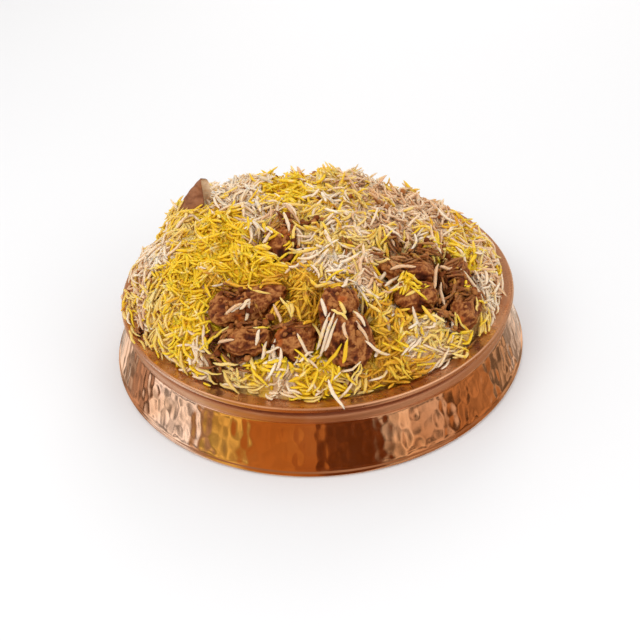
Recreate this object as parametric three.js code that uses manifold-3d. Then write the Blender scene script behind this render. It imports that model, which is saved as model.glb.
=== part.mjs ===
// Mutton biryani heaped in its pan: a shallow copper handi with a hammered wall, filled to the rim and
// piled up with long-grain rice, nine chunks of mutton and one curled bay leaf.
// Millimetres, +Z up. The origin is the middle of the pan's underside, and -Y is the front.
import * as THREE from 'three';
import { mergeVertices } from 'three/addons/utils/BufferGeometryUtils.js';
import Module from 'manifold-3d';

const wasm = await Module();
wasm.setup();

// Clear space between neighbouring pieces.
const GAP = 0.4;

// Pan, spun from one sheet of copper: a wall that widens downwards to a beaded foot, a rolled shoulder,
// a narrow neck and a flat flange that ends in a rolled lip.
const SHEET = 1.8;
const FOOT_RADIUS = 133.7;
const FOOT_BEAD = 2;
const FOOT_TUCK = 1.2;
const FLOOR_CORNER = 3;
const WALL_TOP_RADIUS = 122.3;
const WALL_TOP_HEIGHT = 30.6;
const SHOULDER_RADIUS = 123.6;
const SHOULDER_HEIGHT = 33.6;
const SHOULDER_ROLL = 3.2;
const NECK_RADIUS = 116;
const NECK_HEIGHT = 38.6;
const FLANGE_INNER_RADIUS = 115.6;
const FLANGE_INNER_HEIGHT = 42.2;
const FLANGE_OUTER_RADIUS = 121;
const FLANGE_OUTER_HEIGHT = 42.7;
const RIM_RADIUS = 125;
const RIM_HEIGHT = 43.5;
const LIP_RADIUS = 1.5;
const PAN_SEGMENTS = 48;

// Heap of rice above the rim.
const HEAP_FOOT = 43.1;
const HEAP_RISE = 49.5;
const HEAP_FLATNESS = 2.38;
const HEAP_STEEPNESS = 0.67;
const HEAP_LEAN_LEFT = 0.3;
const HEAP_LEAN_FRONT = 0.1;
const HEAP_EDGE_RADIUS = 116.2;
const HEAP_EDGE_OVAL = 1.5;
const HEAP_EDGE_WOBBLE = 0.9;
const HEAP_RINGS = 16;
const BED_RELIEF = 1.2;
const BED_JITTER = 1.6;

// Swells and hollows of the heap: plan place, reach and rise.
const SWELLS = [
  { x: -104, y: 32, reach: 14, rise: -6 },
  { x: -88, y: 38, reach: 13, rise: 6 },
  { x: -66, y: 60, reach: 14, rise: 2 },
  { x: -42, y: 72, reach: 12, rise: 2 },
  { x: -12, y: 76, reach: 18, rise: -3 },
  { x: 25, y: 72, reach: 12, rise: 5 },
  { x: 58, y: 74, reach: 14, rise: -4 },
  { x: -32, y: -78, reach: 26, rise: -3 },
  { x: 66, y: -46, reach: 26, rise: -3 },
];

// Cooked long-grain rice, laid over the heap and along its edge.
const GRAIN_LENGTH = 15;
const GRAIN_WIDTH = 2.4;
const GRAIN_BEND = 1.6;
const HEAP_GRAINS = 84;
const EDGE_GRAINS = 34;
const GOLDEN_ANGLE = Math.PI * (3 - Math.sqrt(5));

// Chunks of mutton: plan place, how far the middle lies under the heap, length, width and thickness,
// turn in plan, lift of the far end, roll about the length, and how much the chunk narrows to a knob.
const CHUNKS = [
  { x: -20, y: -27, depth: 9, size: [36, 25, 18], turn: 82, lift: 4, roll: 8, waist: 0 },
  { x: -39, y: -68, depth: 7, size: [44, 24, 20], turn: 8, lift: 4, roll: -30, waist: 0.08 },
  { x: -41, y: -86, depth: 6, size: [31, 23, 21], turn: -14, lift: 6, roll: 12, waist: 0.22 },
  { x: -12, y: -92, depth: 7, size: [27, 21, 18], turn: 24, lift: 0, roll: 30, waist: 0.1 },
  { x: 13, y: -88, depth: 4, size: [46, 28, 22], turn: 106, lift: 36, roll: 0, waist: 0.24 },
  { x: 52, y: -42, depth: 5, size: [36, 25, 15], turn: -10, lift: -8, roll: -18, waist: 0 },
  { x: 55, y: -61, depth: 6, size: [27, 20, 17], turn: 12, lift: 0, roll: 14, waist: 0.1 },
  { x: 82, y: -36, depth: 5, size: [28, 22, 17], turn: 64, lift: 4, roll: 0, waist: 0.1 },
  { x: 85, y: -57, depth: 5, size: [29, 20, 17], turn: 58, lift: -10, roll: 16, waist: 0.14 },
];
const CHUNK_DETAIL = 3;
const CHUNK_SQUARENESS = 0.62;
const FIBRE_RIDGES = 7;
const FIBRE_DEPTH = 0.045;
const NEST_MARGIN = 3;
const NEST_DEPTH = 0.55;

// Bay leaf, folded lengthwise and stuck into the rice at the left: the front flap is wide at its foot,
// the back flap leans away and shows its pale inner side.
const LEAF_FOOT = new THREE.Vector3(-89, 27, 78);
const LEAF_TIP = new THREE.Vector3(-69, 31, 103.5);
const LEAF_FRONT = new THREE.Vector3(0.86, -0.5, -0.1);
const LEAF_BACK = new THREE.Vector3(0.93, 0.3, -0.2);
const LEAF_FRONT_WIDTH = 17;
const LEAF_BACK_WIDTH = 14;
const LEAF_BULGE = 0.22;
const LEAF_THICKNESS = 0.9;
const LEAF_WAVE = 1.1;
const LEAF_STEPS_ALONG = 7;
const LEAF_STEPS_ACROSS = 10;

const COPPER = { color: 0xae7450, metalness: 1, roughness: 0.3 };
const RICE = { color: 0xddb850, metalness: 0, roughness: 0.55 };
const MEAT = { color: 0x7a3813, metalness: 0, roughness: 0.45 };
const LEAF = { color: 0x95603a, metalness: 0, roughness: 0.6 };

const degrees = THREE.MathUtils.degToRad;

function seededRandom(seed) {
  let state = seed;
  return () => {
    state = (Math.imul(state, 1664525) + 1013904223) >>> 0;
    return state / 4294967296;
  };
}

// A body with shared corners, without the flat triangles that a lathe leaves on its axis.
function welded(geometry) {
  const plain = new THREE.BufferGeometry();
  plain.setAttribute('position', geometry.getAttribute('position'));
  plain.setIndex(geometry.getIndex());
  const merged = mergeVertices(plain);
  const corners = merged.getIndex().array;
  const kept = [];
  for (let i = 0; i < corners.length; i += 3) {
    const [a, b, c] = corners.slice(i, i + 3);
    if (a !== b && b !== c && c !== a) kept.push(a, b, c);
  }
  merged.setIndex(kept);
  return merged;
}

function toSolid(geometry) {
  const body = welded(geometry);
  const vertProperties = new Float32Array(body.getAttribute('position').array);
  const triVerts = new Uint32Array(body.getIndex().array);
  return new wasm.Manifold(new wasm.Mesh({ numProp: 3, vertProperties, triVerts }));
}

function toGeometry(solid) {
  const { vertProperties, triVerts } = solid.getMesh();
  const geometry = new THREE.BufferGeometry();
  geometry.setAttribute('position', new THREE.BufferAttribute(vertProperties, 3));
  geometry.setIndex(new THREE.BufferAttribute(triVerts, 1));
  return geometry;
}

// The largest connected skin of a solid: loose scraps go, and a sealed hollow is filled.
function mainBody(solid) {
  return solid.decompose().reduce((a, b) => (a.volume() > b.volume() ? a : b));
}

function named(name, geometry, finish) {
  geometry.computeVertexNormals();
  const mesh = new THREE.Mesh(geometry, new THREE.MeshStandardMaterial({ ...finish, flatShading: true }));
  mesh.name = name;
  return mesh;
}

// Points on an arc of a profile, angles in degrees from the outward radius.
function arc(radius, height, roll, from, to, steps) {
  return Array.from({ length: steps + 1 }, (_, i) => {
    const angle = degrees(from + ((to - from) * i) / steps);
    return [radius + roll * Math.cos(angle), height + roll * Math.sin(angle)];
  });
}

// The pan's section: the outside from the underside up to the rolled lip, then the inside down again.
function panProfile() {
  const outside = [
    [0, 0],
    ...arc(FOOT_RADIUS - FOOT_BEAD, FOOT_BEAD, FOOT_BEAD, -90, 45, 3),
    [FOOT_RADIUS - FOOT_TUCK, 2 * FOOT_BEAD],
    [WALL_TOP_RADIUS, WALL_TOP_HEIGHT],
    ...arc(SHOULDER_RADIUS - SHOULDER_ROLL, SHOULDER_HEIGHT, SHOULDER_ROLL, -42, 78, 4),
    [NECK_RADIUS, NECK_HEIGHT - SHEET / 2],
    [NECK_RADIUS, NECK_HEIGHT + SHEET / 2],
    [NECK_RADIUS + SHEET, FLANGE_INNER_HEIGHT - SHEET],
    ...arc(RIM_RADIUS - LIP_RADIUS, RIM_HEIGHT - LIP_RADIUS, LIP_RADIUS, -90, 90, 4),
  ];
  const inside = [
    [FLANGE_OUTER_RADIUS, FLANGE_OUTER_HEIGHT],
    [FLANGE_INNER_RADIUS, FLANGE_INNER_HEIGHT],
    [NECK_RADIUS - SHEET, FLANGE_INNER_HEIGHT - SHEET / 2],
    [NECK_RADIUS - SHEET, NECK_HEIGHT - SHEET],
    [SHOULDER_RADIUS - SHEET, SHOULDER_HEIGHT],
    [WALL_TOP_RADIUS - SHEET, WALL_TOP_HEIGHT],
    [FOOT_RADIUS - FOOT_TUCK - SHEET, 2 * FOOT_BEAD],
    [FOOT_RADIUS - FLOOR_CORNER - SHEET, SHEET],
    [0, SHEET],
  ];
  return [...outside, ...inside].map(([radius, height]) => new THREE.Vector2(radius, height));
}

function buildPan() {
  const shape = new THREE.LatheGeometry(panProfile(), PAN_SEGMENTS);
  shape.rotateX(Math.PI / 2);
  return toGeometry(toSolid(shape));
}

// A closed skin over rings of points that go round anticlockwise, from the top point to the bottom one.
function skinOverRings(rings) {
  const points = rings.flat();
  const corners = [];
  let start = 0;
  for (let ring = 0; ring + 1 < rings.length; ring += 1) {
    const upper = rings[ring].length;
    const lower = rings[ring + 1].length;
    const below = start + upper;
    let i = 0;
    let j = 0;
    while (i < upper || j < lower) {
      const a = start + (i % upper);
      const b = below + (j % lower);
      if (j === lower || (i < upper && (i + 0.5) / upper < (j + 0.5) / lower)) {
        if (upper > 1) corners.push(a, b, start + ((i + 1) % upper));
        i += 1;
      } else {
        if (lower > 1) corners.push(a, b, below + ((j + 1) % lower));
        j += 1;
      }
    }
    start = below;
  }
  const geometry = new THREE.BufferGeometry();
  geometry.setAttribute('position', new THREE.Float32BufferAttribute(points.flatMap((p) => p.toArray()), 3));
  geometry.setIndex(corners);
  return geometry;
}

function ringAt(count, place) {
  return Array.from({ length: count }, (_, i) => place((2 * Math.PI * i) / count));
}

function evenRing(radius, height) {
  return ringAt(PAN_SEGMENTS, (angle) => (
    new THREE.Vector3(radius * Math.cos(angle), radius * Math.sin(angle), height)
  ));
}

// Radius out to which the rice lies on the flange: wider at the sides, and never quite round.
function heapEdge(angle) {
  const oval = HEAP_EDGE_OVAL * Math.cos(2 * angle);
  const wobble = Math.sin(5 * angle + 1) + 0.6 * Math.sin(11 * angle) + 0.4 * Math.sin(23 * angle + 2);
  return HEAP_EDGE_RADIUS + oval + HEAP_EDGE_WOBBLE * wobble;
}

// How far out (x, y) lies on the heap: 0 in the middle, 1 at its edge.
function outwardShare(x, y) {
  return Math.min(1, Math.hypot(x, y) / heapEdge(Math.atan2(y, x)));
}

// Swells and nests fade out at the edge, where the rice lies on the flange.
function edgeFade(x, y) {
  return Math.min(1, 6 * (1 - outwardShare(x, y)));
}

// Height of the heap over the ground, before the nests of the meat and the relief of the grains.
function heapHeight(x, y) {
  const dome = (1 - outwardShare(x, y) ** HEAP_FLATNESS) ** HEAP_STEEPNESS;
  const lean = 1 - (HEAP_LEAN_LEFT * x + HEAP_LEAN_FRONT * y) / HEAP_EDGE_RADIUS;
  let height = HEAP_FOOT + HEAP_RISE * dome * lean;
  for (const swell of SWELLS) {
    const away = Math.hypot(x - swell.x, y - swell.y) / swell.reach;
    height += edgeFade(x, y) * swell.rise * Math.exp(-away * away);
  }
  return height;
}

// How far the rice is pressed down at (x, y) by the chunk of mutton that lies there.
function nestDepth(chunk, x, y) {
  const turn = degrees(chunk.turn);
  const away = new THREE.Vector2(x - chunk.x, y - chunk.y).rotateAround(new THREE.Vector2(), -turn);
  const along = away.x / (chunk.size[0] / 2 + NEST_MARGIN);
  const across = away.y / (chunk.size[1] / 2 + NEST_MARGIN);
  return NEST_DEPTH * chunk.size[2] * Math.exp(-1.2 * (along * along + across * across) ** 2);
}

function bedHeight(x, y) {
  const deepest = Math.max(...CHUNKS.map((chunk) => nestDepth(chunk, x, y)));
  return heapHeight(x, y) - edgeFade(x, y) * deepest;
}

// The bare bed: it fills the pan to its wall, runs up through the neck and heaps above the flange.
// lift raises its top, for the clear space under what lies on it.
function buildBed(lift) {
  const random = seededRandom(11);
  const rings = [[new THREE.Vector3(0, 0, bedHeight(0, 0) + lift)]];
  for (let ring = 1; ring <= HEAP_RINGS; ring += 1) {
    const onHeap = ring < HEAP_RINGS;
    const turn = onHeap ? random() : 0;
    rings.push(ringAt(6 * ring, (step) => {
      const angle = step + (turn * Math.PI) / (3 * ring);
      const jitter = onHeap ? BED_JITTER * (random() - 0.5) : 0;
      const radius = (heapEdge(angle) * ring) / HEAP_RINGS + jitter;
      const x = radius * Math.cos(angle);
      const y = radius * Math.sin(angle);
      const relief = onHeap ? 2 * BED_RELIEF * (random() - 0.5) : 0;
      return new THREE.Vector3(x, y, bedHeight(x, y) + relief + lift);
    }));
  }
  const inner = SHEET + GAP;
  rings.push(
    evenRing(NECK_RADIUS - inner - GAP, FLANGE_INNER_HEIGHT + GAP),
    evenRing(NECK_RADIUS - inner - GAP, NECK_HEIGHT - inner),
    evenRing(WALL_TOP_RADIUS - inner, WALL_TOP_HEIGHT),
    evenRing(FOOT_RADIUS - FOOT_TUCK - inner, 2 * FOOT_BEAD + GAP),
    evenRing(FOOT_RADIUS - FLOOR_CORNER - inner - GAP, inner),
    [new THREE.Vector3(0, 0, inner)],
  );
  return toSolid(skinOverRings(rings));
}

// One chunk about its own middle, length along X: a squarish block, with flat cut faces, soft ridges
// along the meat's fibres and, where it has a waist, a knob at the far end. margin makes it larger.
function chunkShape({ size, waist }, seed, margin) {
  const random = seededRandom(seed);
  const cuts = Array.from({ length: 5 }, () => ({
    facing: new THREE.Vector3(random() - 0.5, random() - 0.5, random() - 0.5).normalize(),
    reach: 0.78 + 0.14 * random(),
  }));
  const phase = 6 * random();
  const shape = welded(new THREE.IcosahedronGeometry(1, CHUNK_DETAIL));
  const places = shape.getAttribute('position');
  const way = new THREE.Vector3();
  for (let i = 0; i < places.count; i += 1) {
    way.fromBufferAttribute(places, i).normalize();
    const around = Math.atan2(way.z, way.y);
    const power = 2 / CHUNK_SQUARENESS;
    const block = Math.abs(way.x) ** power + Math.abs(way.y) ** power + Math.abs(way.z) ** power;
    let reach = Math.min(block ** (-1 / power), 1.25);
    for (const cut of cuts) {
      const toward = way.dot(cut.facing);
      if (toward > 0) reach = Math.min(reach, cut.reach / toward);
    }
    reach *= 1 + FIBRE_DEPTH * Math.sin(FIBRE_RIDGES * around + phase + 2.5 * way.x);
    const narrow = 1 - waist * Math.exp(-(((way.x - 0.3) / 0.22) ** 2));
    const point = way.clone().multiplyScalar(reach);
    point.set(point.x * size[0], point.y * size[1] * narrow, point.z * size[2] * narrow);
    point.multiplyScalar(0.5).addScaledVector(way, margin);
    places.setXYZ(i, point.x, point.y, point.z);
  }
  return shape;
}

function placedChunk(chunk, index, margin) {
  const turned = new THREE.Euler(degrees(chunk.roll), degrees(-chunk.lift), degrees(chunk.turn), 'ZYX');
  const middle = new THREE.Vector3(chunk.x, chunk.y, heapHeight(chunk.x, chunk.y) - chunk.depth);
  const placed = new THREE.Matrix4().makeRotationFromEuler(turned).setPosition(middle);
  return chunkShape(chunk, 31 + index, margin).applyMatrix4(placed);
}

// A place on the leaf: along runs from 0 at the foot to 1 at the tip, across from -1 at the edge of the
// front flap over 0 at the fold to 1 at the edge of the back flap.
function leafPlace(along, across) {
  const side = Math.abs(across);
  const front = across < 0;
  const flap = front ? LEAF_FRONT : LEAF_BACK;
  const taper = front ? 1 - 0.8 * along : Math.sin(Math.PI * (0.3 + 0.55 * along));
  const width = taper * (front ? LEAF_FRONT_WIDTH : LEAF_BACK_WIDTH);
  const outward = new THREE.Vector3().addVectors(LEAF_FRONT, LEAF_BACK).negate().normalize();
  const droop = 4 * along * side * side;
  return LEAF_FOOT.clone()
    .lerp(LEAF_TIP, along)
    .addScaledVector(flap, width * side)
    .addScaledVector(outward, width * LEAF_BULGE * Math.sin(Math.PI * Math.sqrt(side)))
    .add(new THREE.Vector3(0, 0, -droop))
    .addScaledVector(outward, LEAF_WAVE * side * Math.sin(5 * along + 4 * across));
}

// The leaf as a closed sheet, both faces split into triangles alike.
function leafShape(margin) {
  const rows = LEAF_STEPS_ALONG + 1;
  const columns = LEAF_STEPS_ACROSS + 1;
  const faces = [[], []];
  for (let row = 0; row < rows; row += 1) {
    for (let column = 0; column < columns; column += 1) {
      const along = row / LEAF_STEPS_ALONG;
      const across = (2 * column) / LEAF_STEPS_ACROSS - 1;
      const place = leafPlace(along, across);
      const up = leafPlace(along + 0.01, across).sub(place);
      const out = leafPlace(along, across + 0.01).sub(place);
      const normal = up.cross(out).normalize();
      const half = LEAF_THICKNESS / 2 + margin;
      faces[0].push(place.clone().addScaledVector(normal, half));
      faces[1].push(place.clone().addScaledVector(normal, -half));
    }
  }
  const count = rows * columns;
  const corners = [];
  const quad = (a, b, c, d) => corners.push(a, b, c, a, c, d);
  for (let row = 0; row + 1 < rows; row += 1) {
    for (let column = 0; column + 1 < columns; column += 1) {
      const a = row * columns + column;
      const c = a + columns + 1;
      quad(a, a + columns, c, a + 1);
      quad(count + a, count + a + 1, count + c, count + a + columns);
    }
    const left = row * columns;
    const right = left + columns - 1;
    quad(left, count + left, count + left + columns, left + columns);
    quad(right, right + columns, count + right + columns, count + right);
  }
  for (let column = 0; column + 1 < columns; column += 1) {
    const top = (rows - 1) * columns + column;
    quad(column, column + 1, count + column + 1, count + column);
    quad(top, count + top, count + top + 1, top + 1);
  }
  const geometry = new THREE.BufferGeometry();
  const points = [...faces[0], ...faces[1]].flatMap((p) => p.toArray());
  geometry.setAttribute('position', new THREE.Float32BufferAttribute(points, 3));
  geometry.setIndex(corners);
  return geometry;
}

// One grain along X: a slightly bent spindle with four sides.
function grainShape(length, width, bend) {
  const sag = (along) => bend * (1 - 4 * along * along);
  const section = (along, share) => ringAt(4, (angle) => {
    const radius = (width / 2) * share;
    return new THREE.Vector3(length * along, sag(along) + radius * Math.cos(angle), radius * Math.sin(angle));
  });
  return skinOverRings([
    [new THREE.Vector3(length / 2, 0, 0)],
    section(0.38, 0.8),
    section(0, 1),
    section(-0.38, 0.8),
    [new THREE.Vector3(-length / 2, 0, 0)],
  ]);
}

// Seats a grain on the bed below (x, y): along the slope, turned, and sunk by a quarter of its width.
function seatedGrain(bed, x, y, turn, random) {
  const ray = new THREE.Raycaster(new THREE.Vector3(x, y, 200), new THREE.Vector3(0, 0, -1));
  const hit = ray.intersectObject(bed)[0];
  if (!hit) return null;
  const normal = hit.face.normal.clone().lerp(new THREE.Vector3(0, 0, 1), 0.4).normalize();
  const along = new THREE.Vector3(Math.cos(turn), Math.sin(turn), 0);
  along.addScaledVector(normal, -along.dot(normal) + 0.2 * (random() - 0.3)).normalize();
  const side = new THREE.Vector3().crossVectors(normal, along).normalize();
  const upright = new THREE.Vector3().crossVectors(along, side);
  const length = GRAIN_LENGTH * (0.8 + 0.35 * random());
  const shape = grainShape(length, GRAIN_WIDTH, GRAIN_BEND * (2 * random() - 1));
  const place = hit.point.clone().addScaledVector(normal, GRAIN_WIDTH * 0.25);
  shape.applyMatrix4(new THREE.Matrix4().makeBasis(along, side, upright).setPosition(place));
  return toSolid(shape);
}

// Plan places of the grains: a sunflower spiral over the heap, then a row along its edge.
function grainPlaces(random) {
  const places = [];
  for (let i = 0; i < HEAP_GRAINS; i += 1) {
    const angle = i * GOLDEN_ANGLE;
    const radius = heapEdge(angle) * 0.95 * Math.sqrt((i + 0.5) / HEAP_GRAINS);
    places.push({ angle, radius, turn: 2 * Math.PI * random() });
  }
  for (let i = 0; i < EDGE_GRAINS; i += 1) {
    const angle = (2 * Math.PI * (i + 0.6 * random())) / EDGE_GRAINS;
    const radius = heapEdge(angle) - 2.5;
    places.push({ angle, radius, turn: angle + Math.PI / 2 + 1.6 * (random() - 0.5) });
  }
  return places;
}

// The pan's flange and lip with clear space above them, for the grains to stay out of.
function flangeGuard() {
  const inner = NECK_RADIUS - SHEET - GAP;
  const outer = RIM_RADIUS + GAP;
  const lip = RIM_RADIUS - LIP_RADIUS;
  const profile = [
    [inner, SHOULDER_HEIGHT],
    [outer, SHOULDER_HEIGHT],
    [outer, RIM_HEIGHT - LIP_RADIUS],
    [lip + LIP_RADIUS / 2, RIM_HEIGHT + GAP],
    [lip - LIP_RADIUS / 2, RIM_HEIGHT + GAP],
    [FLANGE_OUTER_RADIUS, FLANGE_OUTER_HEIGHT + GAP],
    [inner, FLANGE_INNER_HEIGHT + GAP],
    [inner, SHOULDER_HEIGHT],
  ];
  const shape = new THREE.LatheGeometry(profile.map(([r, z]) => new THREE.Vector2(r, z)), PAN_SEGMENTS);
  shape.rotateX(Math.PI / 2);
  return toSolid(shape);
}

function buildRice(toppings) {
  const random = seededRandom(5);
  const bareBed = buildBed(0);
  const target = new THREE.Mesh(toGeometry(bareBed));
  const barred = toppings.add(flangeGuard());
  const grains = [];
  for (const { angle, radius, turn } of grainPlaces(random)) {
    const x = radius * Math.cos(angle);
    const y = radius * Math.sin(angle);
    const grain = seatedGrain(target, x, y, turn, random);
    if (grain && grain.intersect(barred).isEmpty()) grains.push(grain);
  }
  return toGeometry(mainBody(grains.reduce((heap, grain) => heap.add(grain), bareBed)));
}

const part = new THREE.Group();
part.add(named('pan', buildPan(), COPPER));

// What lies on the bed is cut off where it meets the rice or the piece before it, GAP clear of both.
const raisedBed = buildBed(1.5 * GAP);
const leaf = mainBody(toSolid(leafShape(0)).subtract(raisedBed));
part.add(named('bay_leaf', toGeometry(leaf), LEAF));

let toppings = toSolid(leafShape(GAP));
CHUNKS.forEach((chunk, index) => {
  const whole = toSolid(placedChunk(chunk, index, 0));
  const chunkBody = mainBody(whole.subtract(raisedBed).subtract(toppings));
  part.add(named(`mutton_${index + 1}`, toGeometry(chunkBody), MEAT));
  toppings = toppings.add(toSolid(placedChunk(chunk, index, GAP)));
});
part.add(named('rice', buildRice(toppings), RICE));

export default part;
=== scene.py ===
# Mutton biryani heaped in its hammered copper pan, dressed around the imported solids.
# Metres, in the frame of those solids: +Z up, -Y to the front, the origin under the middle of the pan.
import math

import bpy
import numpy as np
from mathutils import Euler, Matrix, Quaternion, Vector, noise
from mathutils.bvhtree import BVHTree


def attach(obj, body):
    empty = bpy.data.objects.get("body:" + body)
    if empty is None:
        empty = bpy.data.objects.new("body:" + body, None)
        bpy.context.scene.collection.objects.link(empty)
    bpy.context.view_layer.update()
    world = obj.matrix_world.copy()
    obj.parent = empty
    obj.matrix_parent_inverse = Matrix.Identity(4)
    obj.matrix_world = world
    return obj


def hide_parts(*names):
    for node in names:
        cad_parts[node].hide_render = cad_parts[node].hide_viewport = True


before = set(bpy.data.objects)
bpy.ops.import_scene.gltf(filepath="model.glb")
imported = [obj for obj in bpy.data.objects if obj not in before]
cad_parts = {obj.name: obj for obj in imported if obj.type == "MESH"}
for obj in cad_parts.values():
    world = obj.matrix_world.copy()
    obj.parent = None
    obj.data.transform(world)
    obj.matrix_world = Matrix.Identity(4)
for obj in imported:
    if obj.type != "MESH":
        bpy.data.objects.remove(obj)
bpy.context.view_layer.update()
MM = 0.001

# ---------------------------------------------------------------------------------------------
# Camera: in front of the dish and above it, as it is seen by someone who sits down to eat,
# with the head held a little to one side.
RIM_HEIGHT = 43.5 * MM
VIEW_DISTANCE = 600 * MM
VIEW_ELEVATION = math.radians(34.5)
VIEW_ROLL = math.radians(3.5)
VIEW_TURN = math.radians(0.06)
VIEW_TILT = math.radians(-2.6)
SENSOR_WIDTH = 36
LENS = 52.33

toward_eye = Vector((0, -math.cos(VIEW_ELEVATION), math.sin(VIEW_ELEVATION)))
upward = Vector((0, math.sin(VIEW_ELEVATION), math.cos(VIEW_ELEVATION)))
sight = -toward_eye + math.tan(VIEW_TURN) * Vector((1, 0, 0)) + math.tan(VIEW_TILT) * upward

bpy.ops.object.camera_add(location=Vector((0, 0, RIM_HEIGHT)) + VIEW_DISTANCE * toward_eye)
camera = bpy.context.object
camera.data.sensor_width = SENSOR_WIDTH
camera.data.lens = LENS
camera.rotation_mode = "QUATERNION"
camera.rotation_quaternion = sight.to_track_quat("-Z", "Y") @ Quaternion((0, 0, 1), -VIEW_ROLL)
bpy.context.scene.camera = camera

# ---------------------------------------------------------------------------------------------
# Studio: a wide pale table top, large soft lights, and a plain pale room whose darker and warmer
# sides are seen only in the polished copper.
FLOOR_SIZE = 14
FLOOR_COLOUR = (0.76, 0.765, 0.78)
ROOM_LIGHT = (0.98, 0.98, 0.98)
BACKDROP = (0.88, 0.88, 0.89)
# Room as the copper sees it, from the left (azimuth -180) over the front (-90) and the right (0) to the
# back (90): where each part of it ends, and its colour. Higher up it is dim, with a pale lamp overhead.
ROOM_SIDES = [
    (-159, (0.92, 1.02, 1.12)),
    (-150, (0.46, 0.33, 0.21)),
    (-132.5, (0.82, 0.68, 0.2)),
    (-104, (0.53, 0.225, 0.05)),
    (-94, (0.42, 0.16, 0.037)),
    (-61, (0.145, 0.043, 0.01)),
    (-47, (0.66, 0.54, 0.41)),
    (-26, (0.47, 0.34, 0.24)),
    (8, (0.32, 0.15, 0.055)),
    (30, (0.45, 0.31, 0.19)),
    (148, (0.7, 0.62, 0.52)),
    (170, (0.51, 0.38, 0.3)),
    (180, (0.88, 0.98, 1.1)),
]
ROOM_BLEND = 1.5
# How much clutter those sides hold, from an azimuth on: little in front, where the copper looks plain.
ROOM_CLUTTER = [
    (-150, 1), (-146, 0.6), (-134, 0.6), (-131, 0.1), (-95, 0.1), (-92, 0.3), (-63, 0.3), (-60, 1),
]
ROOM_ABOVE = (0.4, 0.25, 0.16)
ROOM_LAMP = (1.1, 1.0, 0.85)
# Softboxes: name, place, size and power in watts. Each faces the dish.
SOFTBOXES = [
    ("key", (-0.7, -0.55, 1.05), 0.8, 6),
    ("fill", (0.95, -0.7, 0.8), 0.8, 3),
    ("rim", (0.25, 1.1, 0.75), 0.6, 3),
]
LIGHT_WARMTH = (1.0, 0.98, 0.95)


def new_material(name):
    """A material with only its Principled shader; returns the material, its tree and that shader."""
    material = bpy.data.materials.new(name)
    material.use_nodes = True
    tree = material.node_tree
    return material, tree, tree.nodes["Principled BSDF"]


def add_node(tree, kind, **settings):
    """A node of that kind with its properties set."""
    node = tree.nodes.new(kind)
    for key, value in settings.items():
        setattr(node, key, value)
    return node


def set_inputs(node, **values):
    """Input values by their names, written with _ for a space."""
    for key, value in values.items():
        socket = node.inputs[key.replace("_", " ")]
        is_colour = socket.type == "RGBA" and len(value) == 3
        socket.default_value = (*value, 1) if is_colour else value


def link(source, output, target, socket):
    """Joins an output of one node to an input of another."""
    target.id_data.links.new(source.outputs[output], target.inputs[socket])


def tint(source, output, stops):
    """That output as colours between stops, each a place and a colour."""
    node = add_node(source.id_data, "ShaderNodeValToRGB")
    ramp = node.color_ramp
    while len(ramp.elements) < len(stops):
        ramp.elements.new(1)
    for element, (place, colour) in zip(ramp.elements, stops):
        element.position = place
        element.color = (*colour, 1)
    link(source, output, node, 0)
    return node


def stretch(source, output, **values):
    """That output stretched between new ends."""
    node = add_node(source.id_data, "ShaderNodeMapRange")
    set_inputs(node, **values)
    link(source, output, node, "Value")
    return node


def calculate(tree, operation, *values):
    """A sum of numbers and outputs, each output given as its node and its name."""
    node = add_node(tree, "ShaderNodeMath", operation=operation)
    for socket, value in enumerate(values):
        if isinstance(value, tuple):
            link(*value, node, socket)
        else:
            node.inputs[socket].default_value = value
    return node


def lay_over(share, share_output, colour, base, base_output="Color"):
    """A colour laid over the base's output, by the share's."""
    node = add_node(share.id_data, "ShaderNodeMix", data_type="RGBA")
    node.inputs["B"].default_value = (*colour, 1)
    link(share, share_output, node, "Factor")
    link(base, base_output, node, "A")
    return node


bpy.ops.object.select_all(action="DESELECT")
bpy.ops.mesh.primitive_plane_add(size=FLOOR_SIZE)
floor = bpy.context.object
floor.name = "table_top"
floor_material, tree, shader = new_material("pale_table_top")
set_inputs(shader, Base_Color=FLOOR_COLOUR, Roughness=0.55)
floor.data.materials.append(floor_material)
floor.visible_glossy = False

for name, place, size, power in SOFTBOXES:
    bpy.ops.object.light_add(type="AREA", location=place)
    softbox = bpy.context.object
    softbox.name = f"softbox_{name}"
    softbox.data.shape = "DISK"
    softbox.data.size = size
    softbox.data.energy = power
    softbox.data.color = LIGHT_WARMTH
    softbox.visible_camera = False
    softbox.visible_glossy = False
    softbox.rotation_euler = (Vector(place) - Vector((0, 0, RIM_HEIGHT))).to_track_quat("Z", "Y").to_euler()

room = bpy.data.worlds.new("pale_room")
bpy.context.scene.world = room
room.use_nodes = True
tree = room.node_tree
backdrop = tree.nodes["Background"]
way = add_node(tree, "ShaderNodeTexCoord")
parts = add_node(tree, "ShaderNodeSeparateXYZ")
link(way, "Generated", parts, 0)
azimuth = calculate(tree, "ARCTAN2", (parts, "Y"), (parts, "X"))
turn_share = calculate(tree, "MULTIPLY_ADD", (azimuth, 0), 1 / (2 * math.pi), 0.5)
side_stops = []
for start, (end, colour) in zip([-180, *(end for end, _ in ROOM_SIDES)], ROOM_SIDES):
    side_stops.append(((start + ROOM_BLEND) / 360 + 0.5, colour))
    side_stops.append(((end - ROOM_BLEND) / 360 + 0.5, colour))
sides = tint(turn_share, 0, side_stops)
clutter = add_node(tree, "ShaderNodeTexNoise")
set_inputs(clutter, Scale=6.5, Detail=1, Roughness=0.5)
link(way, "Generated", clutter, "Vector")
clutter_light = stretch(clutter, "Fac", From_Min=0.38, From_Max=0.62, To_Min=0.3, To_Max=1.7)
clutter_places = tint(turn_share, 0, [(end / 360 + 0.5, (share,) * 3) for end, share in ROOM_CLUTTER])
clutter_here = add_node(tree, "ShaderNodeMix")
set_inputs(clutter_here, A=1)
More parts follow.
